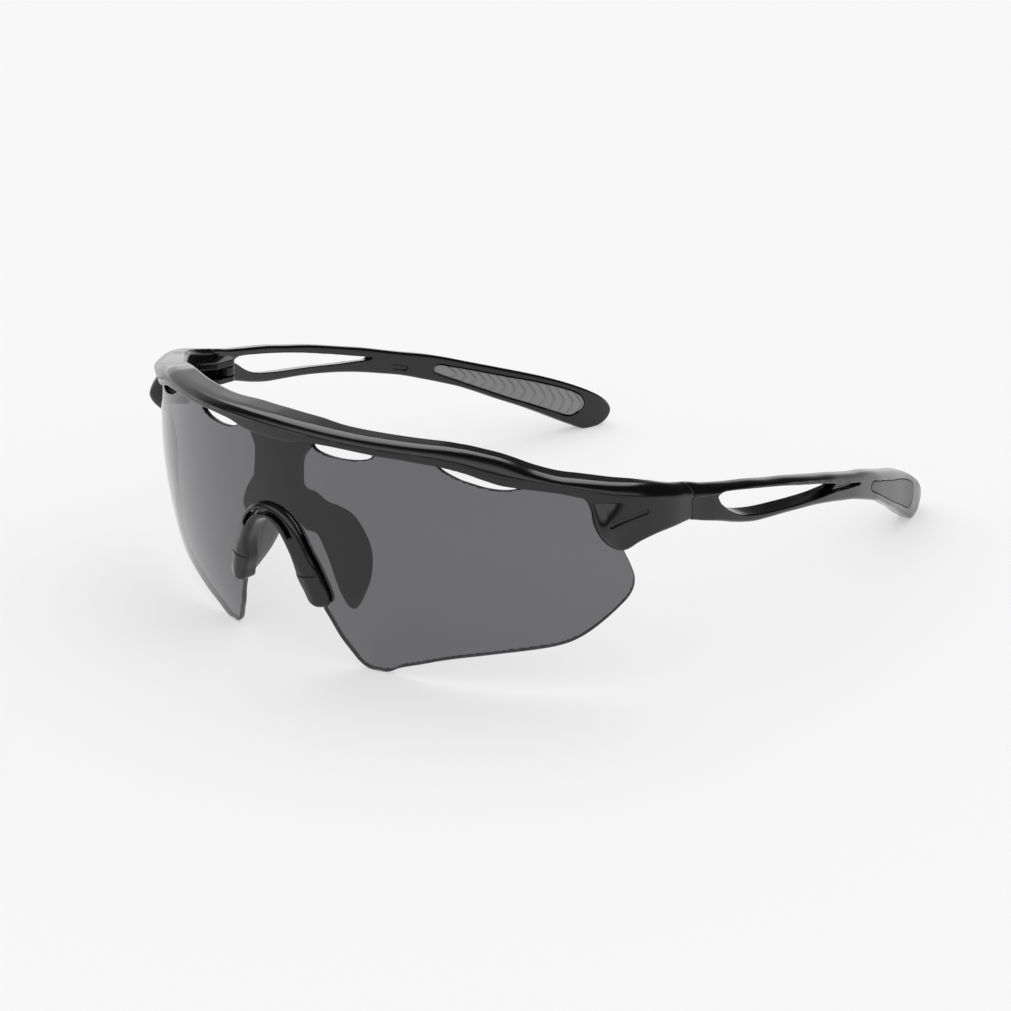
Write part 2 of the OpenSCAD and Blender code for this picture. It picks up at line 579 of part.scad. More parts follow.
brow_frame();
lens();
nose_strut();
nose_clip();
nose_pad_left();
nose_pad_right();
temple_left();
temple_right();
temple_grip_left();
temple_grip_right();
temple_inlay_left();
temple_inlay_right();
hinge_screw_left();
hinge_screw_right();
hinge_insert_left();
hinge_insert_right();
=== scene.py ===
"""Wraparound sport sunglasses: the looks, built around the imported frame.

Every moulding is a rounded solid, given as a signed distance (negative inside) and meshed in code.
Solids are described in millimetres in the hinge frame: x to the wearer's left, y backwards from
the hinge seams, z up. Blender objects are in metres in the row frame, which has Y_SEAM at the seams.
"""

import math

import bpy
import numpy as np
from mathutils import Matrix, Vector


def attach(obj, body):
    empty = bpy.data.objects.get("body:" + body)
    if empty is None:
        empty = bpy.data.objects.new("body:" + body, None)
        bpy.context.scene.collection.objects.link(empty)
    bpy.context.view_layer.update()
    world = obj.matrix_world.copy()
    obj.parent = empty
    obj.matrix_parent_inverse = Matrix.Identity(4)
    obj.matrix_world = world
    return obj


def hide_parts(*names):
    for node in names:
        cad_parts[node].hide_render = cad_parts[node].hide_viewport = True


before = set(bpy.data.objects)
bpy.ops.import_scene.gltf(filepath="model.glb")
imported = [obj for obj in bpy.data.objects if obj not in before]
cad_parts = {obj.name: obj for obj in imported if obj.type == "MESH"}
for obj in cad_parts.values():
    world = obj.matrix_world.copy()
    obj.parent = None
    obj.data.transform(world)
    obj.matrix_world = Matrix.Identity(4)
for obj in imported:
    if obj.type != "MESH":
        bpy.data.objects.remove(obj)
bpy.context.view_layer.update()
scene = bpy.context.scene

Y_SEAM = -32.06
PROBE = 0.03            # reach of the finite differences that give a solid's gradient


# ------------------------------------------------------------------ small maths
def smooth_curve(table, width):
    """Second column over the first, smoothed over width, as a function that is quick to read."""
    table = np.asarray(table, float)
    offsets = np.linspace(-2.4, 2.4, 13)
    weights = np.exp(-0.5 * offsets * offsets)
    weights /= weights.sum()
    places = np.arange(-12.0, 130.0, 0.1)
    values = sum(weight * np.interp(places + offset * width, table[:, 0], table[:, 1])
                 for weight, offset in zip(weights, offsets))
    return lambda at: np.interp(at, places, values)


def cut(first, second, radius):
    """Intersection of two solids with a rounded edge."""
    return (np.minimum(-radius, np.maximum(first, second))
            + np.hypot(np.maximum(radius + first, 0), np.maximum(radius + second, 0)))


def join(first, second, radius):
    """Union of two solids with a fillet."""
    return (np.maximum(radius, np.minimum(first, second))
            - np.hypot(np.maximum(radius - first, 0), np.maximum(radius - second, 0)))


def step(value, low, high):
    share = np.clip((value - low) / (high - low), 0, 1)
    return share * share * (3 - 2 * share)


def slab(value, low, high):
    return np.maximum(low - value, value - high)


def drill(body, reach, z, holes):
    """Takes upright round holes (radius, bottom, top) out of body; reach is the way from the axis."""
    for radius, low, high in holes:
        body = np.maximum(body, -np.maximum(reach - radius, slab(z, low, high)))
    return body


def from_segment(across, up, start, run):
    """Distance from the segment that leaves start by run."""
    share = np.clip(((across - start[0]) * run[0] + (up - start[1]) * run[1])
                    / (run[0] ** 2 + run[1] ** 2), 0, 1)
    return np.hypot(across - start[0] - share * run[0], up - start[1] - share * run[1])


def quarter(across, up, width, height):
    """Solid with across <= width and up <= height, whose corner is a quarter ellipse."""
    rel_x = np.maximum(across, 0) / width
    rel_y = np.maximum(up, 0) / height
    level = np.sqrt(rel_x * rel_x + rel_y * rel_y) + 1e-9
    slope = np.sqrt((rel_x / width) ** 2 + (rel_y / height) ** 2) / level
    return (level - 1) / np.maximum(slope, 1 / np.maximum(width, height))


def spline(points, count=4, closed=False):
    """Centripetal Catmull-Rom through the points, with count samples to a span."""
    points = np.asarray(points, float)
    size = len(points)
    samples = []
    for i in range(size if closed else size - 1):
        if closed:
            before, start, end, after = (points[(i + k) % size] for k in (-1, 0, 1, 2))
        else:
            start, end = points[i], points[i + 1]
            before = points[i - 1] if i > 0 else 2 * start - end
            after = points[i + 2] if i + 2 < size else 2 * end - start
        gap1, gap2, gap3 = (max(np.linalg.norm(b - a), 1e-6) ** 0.5
                            for a, b in ((before, start), (start, end), (end, after)))
        knot = np.linspace(0, 1, count, endpoint=False)[:, None] * gap2
        leave = ((start - before) / gap1 - (end - before) / (gap1 + gap2)
                 + (end - start) / gap2)
        arrive = ((end - start) / gap2 - (after - start) / (gap2 + gap3)
                  + (after - end) / gap3)
        h = knot / gap2
        samples.append((2 * h**3 - 3 * h**2 + 1) * start + (h**3 - 2 * h**2 + h) * leave * gap2
                       + (-2 * h**3 + 3 * h**2) * end + (h**3 - h**2) * arrive * gap2)
    samples = np.concatenate(samples)
    return samples if closed else np.vstack([samples, points[-1]])


def cubic_weights(t):
    t2, t3 = t * t, t * t * t
    return (-0.5 * t + t2 - 0.5 * t3, 1 - 2.5 * t2 + 1.5 * t3,
            0.5 * t + 2 * t2 - 1.5 * t3, -0.5 * t2 + 0.5 * t3)


class Outline:
    """Signed distance to a closed outline, kept on a grid and read with cubic interpolation."""

    def __init__(self, loop, pad=2.5, cell=0.2, low=None, high=None):
        loop = np.asarray(loop, float)
        low = loop.min(0) - pad if low is None else np.asarray(low, float)
        high = loop.max(0) + pad if high is None else np.asarray(high, float)
        self.low, self.cell = low, cell
        self.size = np.ceil((high - low) / cell).astype(int) + 1
        x = (low[0] + cell * np.arange(self.size[0]))[:, None]
        y = (low[1] + cell * np.arange(self.size[1]))[None, :]
        nearest = np.full(tuple(self.size), 1e9)
        inside = np.zeros(tuple(self.size), bool)
        for (x0, y0), (x1, y1) in zip(loop, np.roll(loop, -1, 0)):
            run_x, run_y = x1 - x0, y1 - y0
            square = run_x * run_x + run_y * run_y
            if square < 1e-12:      # doubled point
                continue
            share = np.clip(((x - x0) * run_x + (y - y0) * run_y) / square, 0, 1)
            nearest = np.minimum(nearest, (x - x0 - share * run_x) ** 2
                                 + (y - y0 - share * run_y) ** 2)
            if y0 != y1:
                crossed = (y0 > y) != (y1 > y)
                inside ^= crossed & (x < x0 + (y - y0) * run_x / run_y)
        distance = np.sqrt(nearest)
        self.field = np.where(inside, -distance, distance)

    def __call__(self, x, y):
        across = np.clip((x - self.low[0]) / self.cell, 1, self.size[0] - 3.001)
        up = np.clip((y - self.low[1]) / self.cell, 1, self.size[1] - 3.001)
        across, up = np.broadcast_arrays(across, up)
        i, j = across.astype(int), up.astype(int)
        weights_x, weights_y = cubic_weights(across - i), cubic_weights(up - j)
        total = 0
        for p in range(4):
            row = 0
            for q in range(4):
                row = row + weights_y[q] * self.field[i + p - 1, j + q - 1]
            total = total + weights_x[p] * row
        return total


def mirrored(points):
    """An open curve that starts at x = 0, with its mirror image put before it."""
    points = np.asarray(points, float)
    return np.vstack([points[::-1] * [-1, 1], points[1:]])


def both_sides(half):
    """Closed loop from a half that starts and ends at x = 0."""
    half = np.array(half, float)
    return np.vstack([half, half[-2:0:-1] * [-1, 1]])


# ------------------------------------------------------------------ surface mesher
CORNERS = [(c & 1, c >> 1 & 1, c >> 2) for c in range(8)]
CELL_EDGES = [(a, b) for a in range(8) for b in range(a + 1, 8) if bin(a ^ b).count("1") == 1]


def nets(field):
    """Surface-nets mesh of the zero level of a grid: vertices in grid units, and quads."""
    inside = field < 0
    count = np.zeros([size - 1 for size in field.shape], np.int8)
    for corner in CORNERS:
        count += inside[tuple(slice(o, o + size) for o, size in zip(corner, count.shape))]
    cells = np.nonzero((count > 0) & (count < 8))
    found = len(cells[0])
    ids = np.full(count.shape, -1, np.int32)
    ids[cells] = np.arange(found, dtype=np.int32)
    values = [field[tuple(c + o for c, o in zip(cells, corner))] for corner in CORNERS]
    total = np.zeros((found, 3))
    crossings = np.zeros(found)
    for a, b in CELL_EDGES:
        first, second = values[a], values[b]
        crossed = (first < 0) != (second < 0)
        share = np.where(crossed, first / np.where(crossed, first - second, 1), 0)
        start = np.array(CORNERS[a], float)
        run = np.array(CORNERS[b], float) - start
        total += (start + share[:, None] * run) * crossed[:, None]
        crossings += crossed
    vertices = total / crossings[:, None] + np.stack(cells, 1)
    faces = []
    for axis in range(3):
        offset = [1 if k == axis else 0 for k in range(3)]
        near = inside[tuple(slice(0, size - o) for size, o in zip(field.shape, offset))]
        far = inside[tuple(slice(o, None) for o in offset)]
        places = np.argwhere(near != far)
        u, v = (axis + 1) % 3, (axis + 2) % 3
        places = places[(places[:, u] > 0) & (places[:, v] > 0)
                        & (places[:, u] < count.shape[u]) & (places[:, v] < count.shape[v])]
        outward = near[tuple(places.T)]
        corners = []
        for back_u, back_v in ((0, 0), (1, 0), (1, 1), (0, 1)):
            shifted = places.copy()
            shifted[:, u] -= back_u
            shifted[:, v] -= back_v
            corners.append(ids[tuple(shifted.T)])
        quads = np.stack(corners, 1)
        quads[~outward] = quads[~outward][:, ::-1]
        faces.append(quads)
    faces = np.concatenate(faces)
    return vertices, faces[(faces >= 0).all(1)]


def gradient(sdf, points):
    slope = np.zeros_like(points)
    for way in np.array([[1, -1, -1], [-1, -1, 1], [-1, 1, -1], [1, 1, 1]], float):
        probe = points + way * PROBE
        slope += way * sdf(probe[:, 0], probe[:, 1], probe[:, 2])[:, None]
    return slope / (4 * PROBE)


def solid(spans, sdf, place=lambda *point: point, on_grid=None):
    """Meshes a solid: points, normals and quads.

    spans has (from, to, cell) for each grid axis. place turns grid coordinates into the hinge
    frame, where sdf is the solid. on_grid is the same solid in grid coordinates.
    """
    axes = [np.arange(low, high + cell * 0.5, cell) for low, high, cell in spans]
    spread = axes[0][:, None, None], axes[1][None, :, None], axes[2][None, None, :]
    field = on_grid(*spread) if on_grid else sdf(*place(*spread))
    vertices, quads = nets(field.astype(np.float32))
    points = [np.interp(vertices[:, k], np.arange(len(axes[k])), axes[k]) for k in range(3)]
    points = np.stack(place(*points), 1)
    longest = 0.4 * max(abs(axis[1] - axis[0]) for axis in axes)
    # the vertices settle on the true surface
    for _ in range(3):
        value = sdf(points[:, 0], points[:, 1], points[:, 2])
        slope = gradient(sdf, points)
        move = slope * (-value / np.maximum((slope * slope).sum(1), 0.15))[:, None]
        length = np.linalg.norm(move, axis=1)
        points = points + move * np.minimum(1, longest / np.maximum(length, 1e-9))[:, None]
    normals = gradient(sdf, points)
    normals /= np.maximum(np.linalg.norm(normals, axis=1), 1e-9)[:, None]
    return points, normals, quads


def link_object(name, data):
    obj = bpy.data.objects.new(name, data)
    scene.collection.objects.link(obj)
    return obj


def make(name, shape, material, body, node_name, mirror=False):
    """Blender object from a meshed solid."""
    points, normals, quads = shape
    points, normals = points.copy(), normals.copy()
    if mirror:
        points[:, 0] *= -1
        normals[:, 0] *= -1
        quads = quads[:, ::-1]
    # all faces are flipped together if they look into the solid
    a, b, c, d = (points[quads[:, k]] for k in range(4))
    if (np.cross(c - a, d - b) * normals[quads].mean(1)).sum(1).mean() < 0:
        quads = quads[:, ::-1]
    points[:, 1] += Y_SEAM
    points *= 0.001
    mesh = bpy.data.meshes.new(name)
    mesh.vertices.add(len(points))
    mesh.vertices.foreach_set("co", points.astype(np.float32).ravel())
    mesh.loops.add(quads.size)
    mesh.loops.foreach_set("vertex_index", quads.astype(np.int32).ravel())
    mesh.polygons.add(len(quads))
    mesh.polygons.foreach_set("loop_start", np.arange(0, quads.size, 4, dtype=np.int32))
    mesh.update(calc_edges=True)
    mesh.validate()
    mesh.polygons.foreach_set("use_smooth", np.ones(len(mesh.polygons), bool))
    mesh.normals_split_custom_set_from_vertices(normals.astype(float).tolist())
    mesh.materials.append(material)
    obj = link_object(name, mesh)
    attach(obj, body)
    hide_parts(node_name)
    return obj


def make_pair(name, shape, material, bodies, node_name):
    """The left piece as meshed, and its mirror image on the right."""
    for side, body in zip(("left", "right"), bodies):
        make(f"{name}_{side}", shape, material, body, f"{node_name}_{side}",
             mirror=side == "right")


# ------------------------------------------------------------------ lens surface and bar path
# the lens front is part of a torus, leaning about the x axis
LENS_LEAN = math.radians(3.9)
LENS_RADIUS_H, LENS_RADIUS_V = 80.9, 99.2
LENS_Y, LENS_Z = -44.74, 25.0           # foremost place before it leans
LENS_T = 1.2

# the bar's plan: a wide arc, a tight bend at each side, then straight back
ARC_R, ARC_Y = 79.0, 34.8
BEND_ANGLE, BEND_R = math.radians(53.4), 15.2
BEND_START = ARC_R * BEND_ANGLE
BEND_END = BEND_START + BEND_R * (math.pi / 2 - BEND_ANGLE)
TURN_X, TURN_Y = ARC_R * math.sin(BEND_ANGLE), ARC_Y - ARC_R * math.cos(BEND_ANGLE)
BEND_X = TURN_X - BEND_R * math.sin(BEND_ANGLE)
BEND_Y = TURN_Y + BEND_R * math.cos(BEND_ANGLE)
STRAIGHT_X = TURN_X + BEND_R * (1 - math.sin(BEND_ANGLE))

# hinge: pin axis, heights of the bar's two ears and of the arm's tongue, and radii
PIN_X, PIN_Y = 62.0, 1.7
EAR_LOW, TONGUE, EAR_HIGH = (32.6, 33.9), (34.0, 36.0), (36.1, 37.6)
EAR_R, SCREW_R, HEAD_R, INSERT_R = 1.9, 0.7, 1.15, 1.2
EAR_EDGE = 0.2
SEAM_GAP, SEAM_EDGE = 0.05, 0.16


def lens_local(y, z):
    back = (y - LENS_Y) * math.cos(LENS_LEAN) + (z - LENS_Z) * math.sin(LENS_LEAN)
    up = -(y - LENS_Y) * math.sin(LENS_LEAN) + (z - LENS_Z) * math.cos(LENS_LEAN)
    return back, up


def lens_off(x, y, z, offset=0.0):
    """Distance in front of the surface that lies offset outside the lens front."""
    back, up = lens_local(y, z)
    up = np.clip(up, -80, 80)
    ring = LENS_RADIUS_H - LENS_RADIUS_V + np.sqrt((LENS_RADIUS_V + offset) ** 2 - up * up)
    return np.hypot(x, back - LENS_RADIUS_H) - ring


def lens_y(x, z):
    """The y of the lens front over x and z."""
    y = np.full(np.broadcast(x, z).shape, -40.0)
    for _ in range(25):
        y = y + lens_off(x, y, z) * 0.9
    return y


def lens_foot(x, y, z):
    """The point's place on the lens front as x and z, and its distance in front of it."""
    gap = lens_off(x, y, z)
    back, up = lens_local(y, z)
    reach = np.hypot(x, back - LENS_RADIUS_H)
    return x - gap * x / reach, z - gap * (up / LENS_RADIUS_V), gap


def path_xy(along, out):
    """Plan position from the distance along the bar and outwards from its path."""
    run = np.abs(along)
    on_arc, on_bend = run < BEND_START, run < BEND_END
    angle = np.where(on_arc, run / ARC_R,
                     np.where(on_bend, BEND_ANGLE + (run - BEND_START) / BEND_R, math.pi / 2))
    x = np.where(on_arc, ARC_R * np.sin(angle),
                 np.where(on_bend, BEND_X + BEND_R * np.sin(angle), STRAIGHT_X))
    y = np.where(on_arc, ARC_Y - ARC_R * np.cos(angle),
                 np.where(on_bend, BEND_Y - BEND_R * np.cos(angle), BEND_Y + run - BEND_END))
    side = np.sign(np.where(along == 0, 1, along))
    return side * (x + out * np.sin(angle)), y - out * np.cos(angle)


def path_along_out(x, y):
    """The reverse of path_xy, with both sides folded onto the left."""
    x = np.abs(x)
    arc_turn = np.arctan2(x, ARC_Y - y)
    bend_turn = np.arctan2(x - BEND_X, BEND_Y - y)
    straight, on_arc = y > BEND_Y, arc_turn < BEND_ANGLE
    along = np.where(straight, BEND_END + y - BEND_Y,
                     np.where(on_arc, ARC_R * arc_turn,
                              BEND_START + BEND_R * (bend_turn - BEND_ANGLE)))
    out = np.where(straight, x - STRAIGHT_X,
                   np.where(on_arc, np.hypot(x, ARC_Y - y) - ARC_R,
                            np.hypot(x - BEND_X, BEND_Y - y) - BEND_R))
    return along, out


# ------------------------------------------------------------------ brow bar
# distance along the bar from its middle, then: height of the crease along the front face
CREASE = [
    [-10, 47.8], [0, 47.9], [9, 47.8], [18, 47.5], [26, 47.3], [34, 47.1], [38, 46.8],
    [41.6, 46.1], [45.2, 44.9], [48.8, 43.9], [52.5, 43.7], [56, 43.4], [59.6, 42.8], [63.2, 42.1],
    [67, 41.2], [70.5, 40.4], [74.2, 39.8], [78, 39.0], [82, 38.0], [86.6, 36.9], [90, 36.5]]
# rise of the top above the crease
CREST = [
    [-10, 1.8], [0, 1.8], [20, 1.7], [34, 1.75], [40, 2.1], [44.6, 2.8], [48.5, 3.2], [51, 2.6],
    [54, 1.7], [57, 1.2], [60, 1.05], [66, 1.6], [72, 2.15], [78, 2.5], [83, 2.55], [86.6, 2.6],
    [90, 2.6]]
# lower edge of the front wall
LIP = [
    [0, 45.4], [4, 45.4], [7, 45.6], [9, 46.0], [11, 46.3], [14, 46.4], [17, 46.4], [22, 46.2],
    [26, 46.0], [30, 45.9], [34, 45.6], [37.5, 45.3], [41.4, 44.6], [43.2, 44.1], [45, 43.5],
    [47, 42.9], [48.8, 42.4], [52.4, 41.9], [56, 41.5], [59.7, 41.0], [62.4, 40.35], [64.0, 39.9],
    [64.9, 39.2], [65.3, 38.0], [65.5, 36.4], [65.8, 34.9], [66.5, 33.3], [67.6, 31.6],
    [68.9, 30.2], [70.4, 29.5], [71.7, 29.4], [72.8, 29.8], [74.4, 30.8], [76.2, 31.5],
    [78.1, 32.0], [80.2, 32.3], [82.5, 32.4], [86.6, 32.4], [93, 32.4]]
# lower edge of the rear wall
REAR = [
    [0, 45.2], [10, 45.3], [20, 45.2], [30, 45.0], [38, 44.2], [45, 42.8], [50, 41.6], [58, 40.6],
    [63, 39.8], [64.6, 38.9], [65.6, 36.8], [66.8, 34.3], [68.6, 32.2], [71, 31.1], [74, 31.2],
    [78, 32.0], [82.5, 32.4], [93, 32.4]]
# top of the lens slot
SLOT = [
    [0, 47.4], [9, 47.3], [18, 47.0], [26, 46.8], [34, 46.6], [38, 46.3], [41.6, 45.6],
    [45.2, 44.4], [48.8, 43.4], [52.5, 43.2], [56, 42.9], [59.6, 42.4], [63.2, 41.95],
    [64.5, 41.75], [67.5, 40.85], [69.9, 39.9], [71.4, 38.7], [72.3, 36.8], [72.9, 34.4],
    [73.6, 31.8], [74.2, 29.0]]
crease = smooth_curve(CREASE, 1.0)
crest = smooth_curve(CREST, 1.1)
# outward and inward reach of the walls from the path
face_out = smooth_curve([[0, 2.0], [56, 2.0], [63, 2.3], [70, 2.5], [74, 2.35], [80, 1.85],
                         [86.6, 1.63]], 1.2)
back_in = smooth_curve([[0, 5.8], [9, 5.8], [15, 4.8], [58, 4.8], [66, 4.6], [76, 3.6], [83, 2.8],
                        [86.6, 2.57]], 1.6)
# height of the ridge on the side lug, and rounding of the lower edges
swell = smooth_curve([[0, 0], [64.3, 0], [65.0, 0.5], [65.8, 1.5], [66.7, 2.2], [67.7, 2.3],
                      [68.9, 1.6], [70.4, 0.9], [72.2, 0.4], [74.5, 0], [93, 0]], 0.5)
lip_round = smooth_curve([[0, 0.4], [60, 0.4], [63, 0.6], [65, 1.1], [69, 1.1], [73, 0.8],
                          [80, 0.8]], 0.8)
CREASE_R = 0.12
CREASE_STEP = 0.5       # the face below the crease is set back by this
ROLL_DEPTH = 3.3        # width of the rounded top, front to back
REAR_EDGE_R = 1.15
RIDGE_Z, RIDGE_HALF = 34.6, 4.5
LENS_GAP = 0.1
LUG_GROOVE = (68.9, 35.1)
LUG_GROOVE_RUN = (75.5 - 68.9, 36.8 - 35.1)
HINGE_HOLES = [         # radius, bottom, top: tongue, screw shank, screw head, insert
    (EAR_R + 0.25, TONGUE[0] - 0.1, TONGUE[1] + 0.1),
    (SCREW_R + 0.03, 31.6, 35.6),
    (HEAD_R + 0.1, 31.6, 33.4),
    (INSERT_R + 0.01, 35.1, 37.24)]


def bar_region(points, level):
    """Everything between an open curve, mirrored about the bar's middle, and a level."""
    edge = mirrored(spline(points))
    loop = np.vstack([edge, [[edge[-1, 0], level], [edge[0, 0], level]]])
    return Outline(loop, low=[-95, 26], high=[95, 52])


above_lip = bar_region(LIP, 60.0)
above_rear = bar_region(REAR, 60.0)
below_slot = bar_region(SLOT, 20.0)
# plans of the ear and tongue roots
ear_plan = Outline([
    [PIN_X - EAR_R, PIN_Y], [PIN_X - EAR_R + 0.3, -2.2], [PIN_X + 0.6, -5.2], [PIN_X + 3.2, -6.6],
    [PIN_X + 4.2, -6.6], [PIN_X + 4.2, -0.05], [PIN_X + 1.5, -0.05], [PIN_X + EAR_R - 0.15, 0.9],
    [PIN_X + EAR_R, PIN_Y]], cell=0.1)
tongue_plan = Outline([[PIN_X, PIN_Y + EAR_R], [66, 7.5], [66.6, 7.5], [66.6, 0.35],
                       [PIN_X + 1.5, 0.55], [PIN_X, PIN_Y]], cell=0.1)


def bar_sdf(along, out, z, x, y):
    run = np.abs(along)
    x = np.abs(x)
    face, back = face_out(run), -back_in(run)
    fold = crease(run)
    rise = crest(run)
    roll = cut(quarter(out - (face - ROLL_DEPTH), z - fold, ROLL_DEPTH, rise), fold - z, CREASE_R)
    # below the crease the lug's face swells to a blunt ridge
    bulge = np.clip(1 - np.sqrt((z - RIDGE_Z) ** 2 + 0.16) / RIDGE_HALF, 0, 1)
    low_face = face - CREASE_STEP + swell(run) * bulge * (1.6 - 0.6 * bulge)
    ledge = out - (low_face - face + CREASE_STEP)
    band = cut(quarter(ledge - (face - ROLL_DEPTH), z - fold, ROLL_DEPTH, rise), out - low_face,
               CREASE_R)
    body = np.minimum(roll, band)
    # front wall ends at the lip, rear wall at its own underside
    front_share = step(lens_off(x, y, z, -0.95), -0.5, 0.5)
    bottom = above_lip(along, z) * front_share + above_rear(along, z) * (1 - front_share)
    body = cut(body, bottom, lip_round(run))
    body = cut(body, back - out, REAR_EDGE_R)
    # slot for the lens
    layer = np.maximum(lens_off(x, y, z, LENS_GAP), -lens_off(x, y, z, -LENS_T - LENS_GAP))
    body = np.maximum(body, -np.maximum(layer, below_slot(along, z)))
    # pocket for the strut's head
    pocket = np.maximum(np.maximum(x - 8.36, slab(y, -43.2, -39.9)), slab(z, 43, 47.26))
    body = np.maximum(body, -pocket)
    # straight groove in the lug's face
    width = from_segment(run, z, LUG_GROOVE, LUG_GROOVE_RUN) - 0.44
    groove = cut(width, (low_face - 0.42) - out, 0.2)
    body = cut(body, -groove, 0.14)
    # seam with the temple
    body = cut(body, y + SEAM_GAP, SEAM_EDGE)
    # hinge ears
    reach = np.hypot(x - PIN_X, y - PIN_Y)
    plan = np.minimum(ear_plan(x, y), reach - EAR_R)
    for ear in (EAR_LOW, EAR_HIGH):
        body = np.minimum(body, cut(plan, slab(z, *ear), EAR_EDGE))
    return drill(body, reach, z, HINGE_HOLES)


# ------------------------------------------------------------------ lens
# scalloped vent: a flattened half ellipse in the upper edge, its two ends raised
VENT = [[16.7 - 6.6 * math.cos(math.radians(a)), 45.9 - 1.9 * math.sin(math.radians(a)) ** 0.8]
        for a in range(180, -1, -15)]
for end in (VENT[0], VENT[-1]):
    end[1] += 0.2
# left half of the front outline, x and z, from the nose arch round to the top middle
LENS_HALF = [
    [0, 30.6], [2.2, 30.2], [4.4, 29.0], [6.2, 26.9], [7.8, 24.2], [8.9, 21.4], [9.8, 18.4],
    [10.4, 15.6], [10.9, 12.5], [12.2, 9.7], [13.7, 6.2], [15.3, 3.6], [16.6, 1.5], [17.6, 0.5],
    [18.7, 0], [22.3, 0], [25.5, 1.6], [29.7, 3.1], [33.6, 4.5], [37.3, 5.6], [40.9, 6.5],
    [44.2, 7.3], [47.4, 8.0], [50.5, 8.7], [53, 9.4], [54.9, 10.2], [56.4, 11.2], [57.9, 12.5],
    [59.3, 14.0], [60.7, 15.7], [62.1, 17.6], [63.2, 19.3], [63.9, 20.9], [64.25, 22.5],
    [64.3, 24.0], [64.1, 25.4], [63.8, 26.9], [63.2, 29.1], [62.7, 31.5], [62.2, 34], [61.8, 36.5],
    [61.2, 38.4], [60.2, 39.6], [58.6, 40.6], [56.5, 41.5], [54, 42.1], [51.6, 42.5], [50.2, 42.4],
    [48.9, 41.7], [47.3, 41.3], [45.4, 41.3], [43.5, 41.6], [41.3, 42.2], [39.4, 42.8],
    [37.7, 43.6], [36.6, 44.2], [35.6, 44.9], [34.4, 46.0], [33.2, 46.5], [30, 46.7],
    [26.5, 46.8], [24.4, 46.7], *VENT, [9.2, 47.1], [4, 47.2], [0, 47.2]]
lens_outline = Outline(spline(both_sides(LENS_HALF), closed=True))


def lens_sdf(x, y, z):
    foot_x, foot_z, gap = lens_foot(x, y, z)
    layer = np.maximum(gap, -lens_off(x, y, z, -LENS_T))
    return cut(lens_outline(foot_x, foot_z), layer, 0.3)


# ------------------------------------------------------------------ nose strut and pads
# left side of the strut, x and z, from the top down to the middle
STRUT_SIDE = [
    [8.3, 47.2], [8.3, 44.6], [7.4, 43.2], [6.3, 41.6], [6.3, 36.0], [6.3, 32.0], [6.5, 31.2],
    [7.0, 30.4], [7.7, 29.6], [8.3, 28.9], [8.4, 28.2], [7.9, 27.8], [7.0, 28.3], [6.2, 28.9],
    [5.0, 29.6], [2.8, 30.2], [0, 30.4]]
# outlines of the wing that carries a pad and of the pad: backwards, downwards
WING = [
    [0.3, -3.6], [1.5, -3.8], [2.6, -2.7], [3.6, -1.3], [5.9, 0.2], [8.2, 2.2], [9.5, 5.0],
    [10.1, 8.0], [10.0, 10.6], [9.3, 12.9], [8.0, 15.2], [6.2, 17.2], [4.4, 18.6], [3.0, 19.1],
    [1.9, 18.4], [1.1, 16.4], [0.5, 13.0], [0.2, 9.6], [-0.1, 6.3], [-0.6, 3.6], [-1.4, 2.0],
    [-1.8, 0.9], [-1.5, -0.8], [-0.7, -2.4]]
PAD = [
    [3.0, -0.8], [4.8, 0.0], [6.8, 1.4], [8.8, 3.2], [10.2, 4.9], [10.9, 7.6], [10.9, 10.4],
    [10.2, 13.2], [8.8, 15.8], [6.6, 18.2], [4.6, 19.9], [3.2, 20.5], [2.1, 19.8], [1.3, 17.2],
    [1.0, 13.0], [1.1, 8.4], [1.5, 4.4], [2.2, 1.0]]
strut_outline = Outline(spline(STRUT_SIDE + [[-x, z] for x, z in STRUT_SIDE[-2::-1]], closed=True))
wing_outline, pad_outline = (
    Outline(spline(loop, closed=True), low=[-8, -14], high=[20, 32]) for loop in (WING, PAD))
# the wing's own axes: backwards, downwards and towards the nose
WING_ORIGIN = (7.8, -41.7, 31.0)
WING_BACK = np.array([0.13, 0.99, 0.0])
WING_DOWN = np.array([0.35, 0.06, -0.94])
WING_IN = np.cross(WING_BACK, WING_DOWN)
WING_IN /= np.linalg.norm(WING_IN)
TO_WING = np.linalg.inv(np.stack([WING_BACK, WING_DOWN, WING_IN], 1))
STRUT_GAP, STRUT_T = 0.14, 1.68         # behind the lens


def wing_axes(x, y, z):
    from_origin = (np.abs(x) - WING_ORIGIN[0], y - WING_ORIGIN[1], z - WING_ORIGIN[2])
    return tuple(row[0] * from_origin[0] + row[1] * from_origin[1] + row[2] * from_origin[2]
                 for row in TO_WING)


def strut_sdf(x, y, z):
    layer = np.maximum(lens_off(x, y, z, -LENS_T - STRUT_GAP),
                       -lens_off(x, y, z, -LENS_T - (STRUT_GAP + STRUT_T)))
    column = cut(strut_outline(x, z), layer, 0.4)
    back, down, inward = wing_axes(x, y, z)
    wing = cut(wing_outline(back, down), slab(inward, -1.4, -0.02), 0.5)
    body = join(column, wing, 2.4)
    # the blend stays clear of the pad and of the lens
    body = np.maximum(body, -np.maximum(pad_outline(back, down) - 0.3, slab(inward, 0.0, 4.0)))
    return np.maximum(body, lens_off(x, y, z, -LENS_T - 0.12))


def pad_sdf(x, y, z):
    back, down, inward = wing_axes(x, y, z)
    edge = pad_outline(back, down)
    crown = 1.73 - 0.55 * step(edge, -3.2, 0.0)
    return cut(edge, np.maximum(0.03 - inward, inward - crown), 0.62)


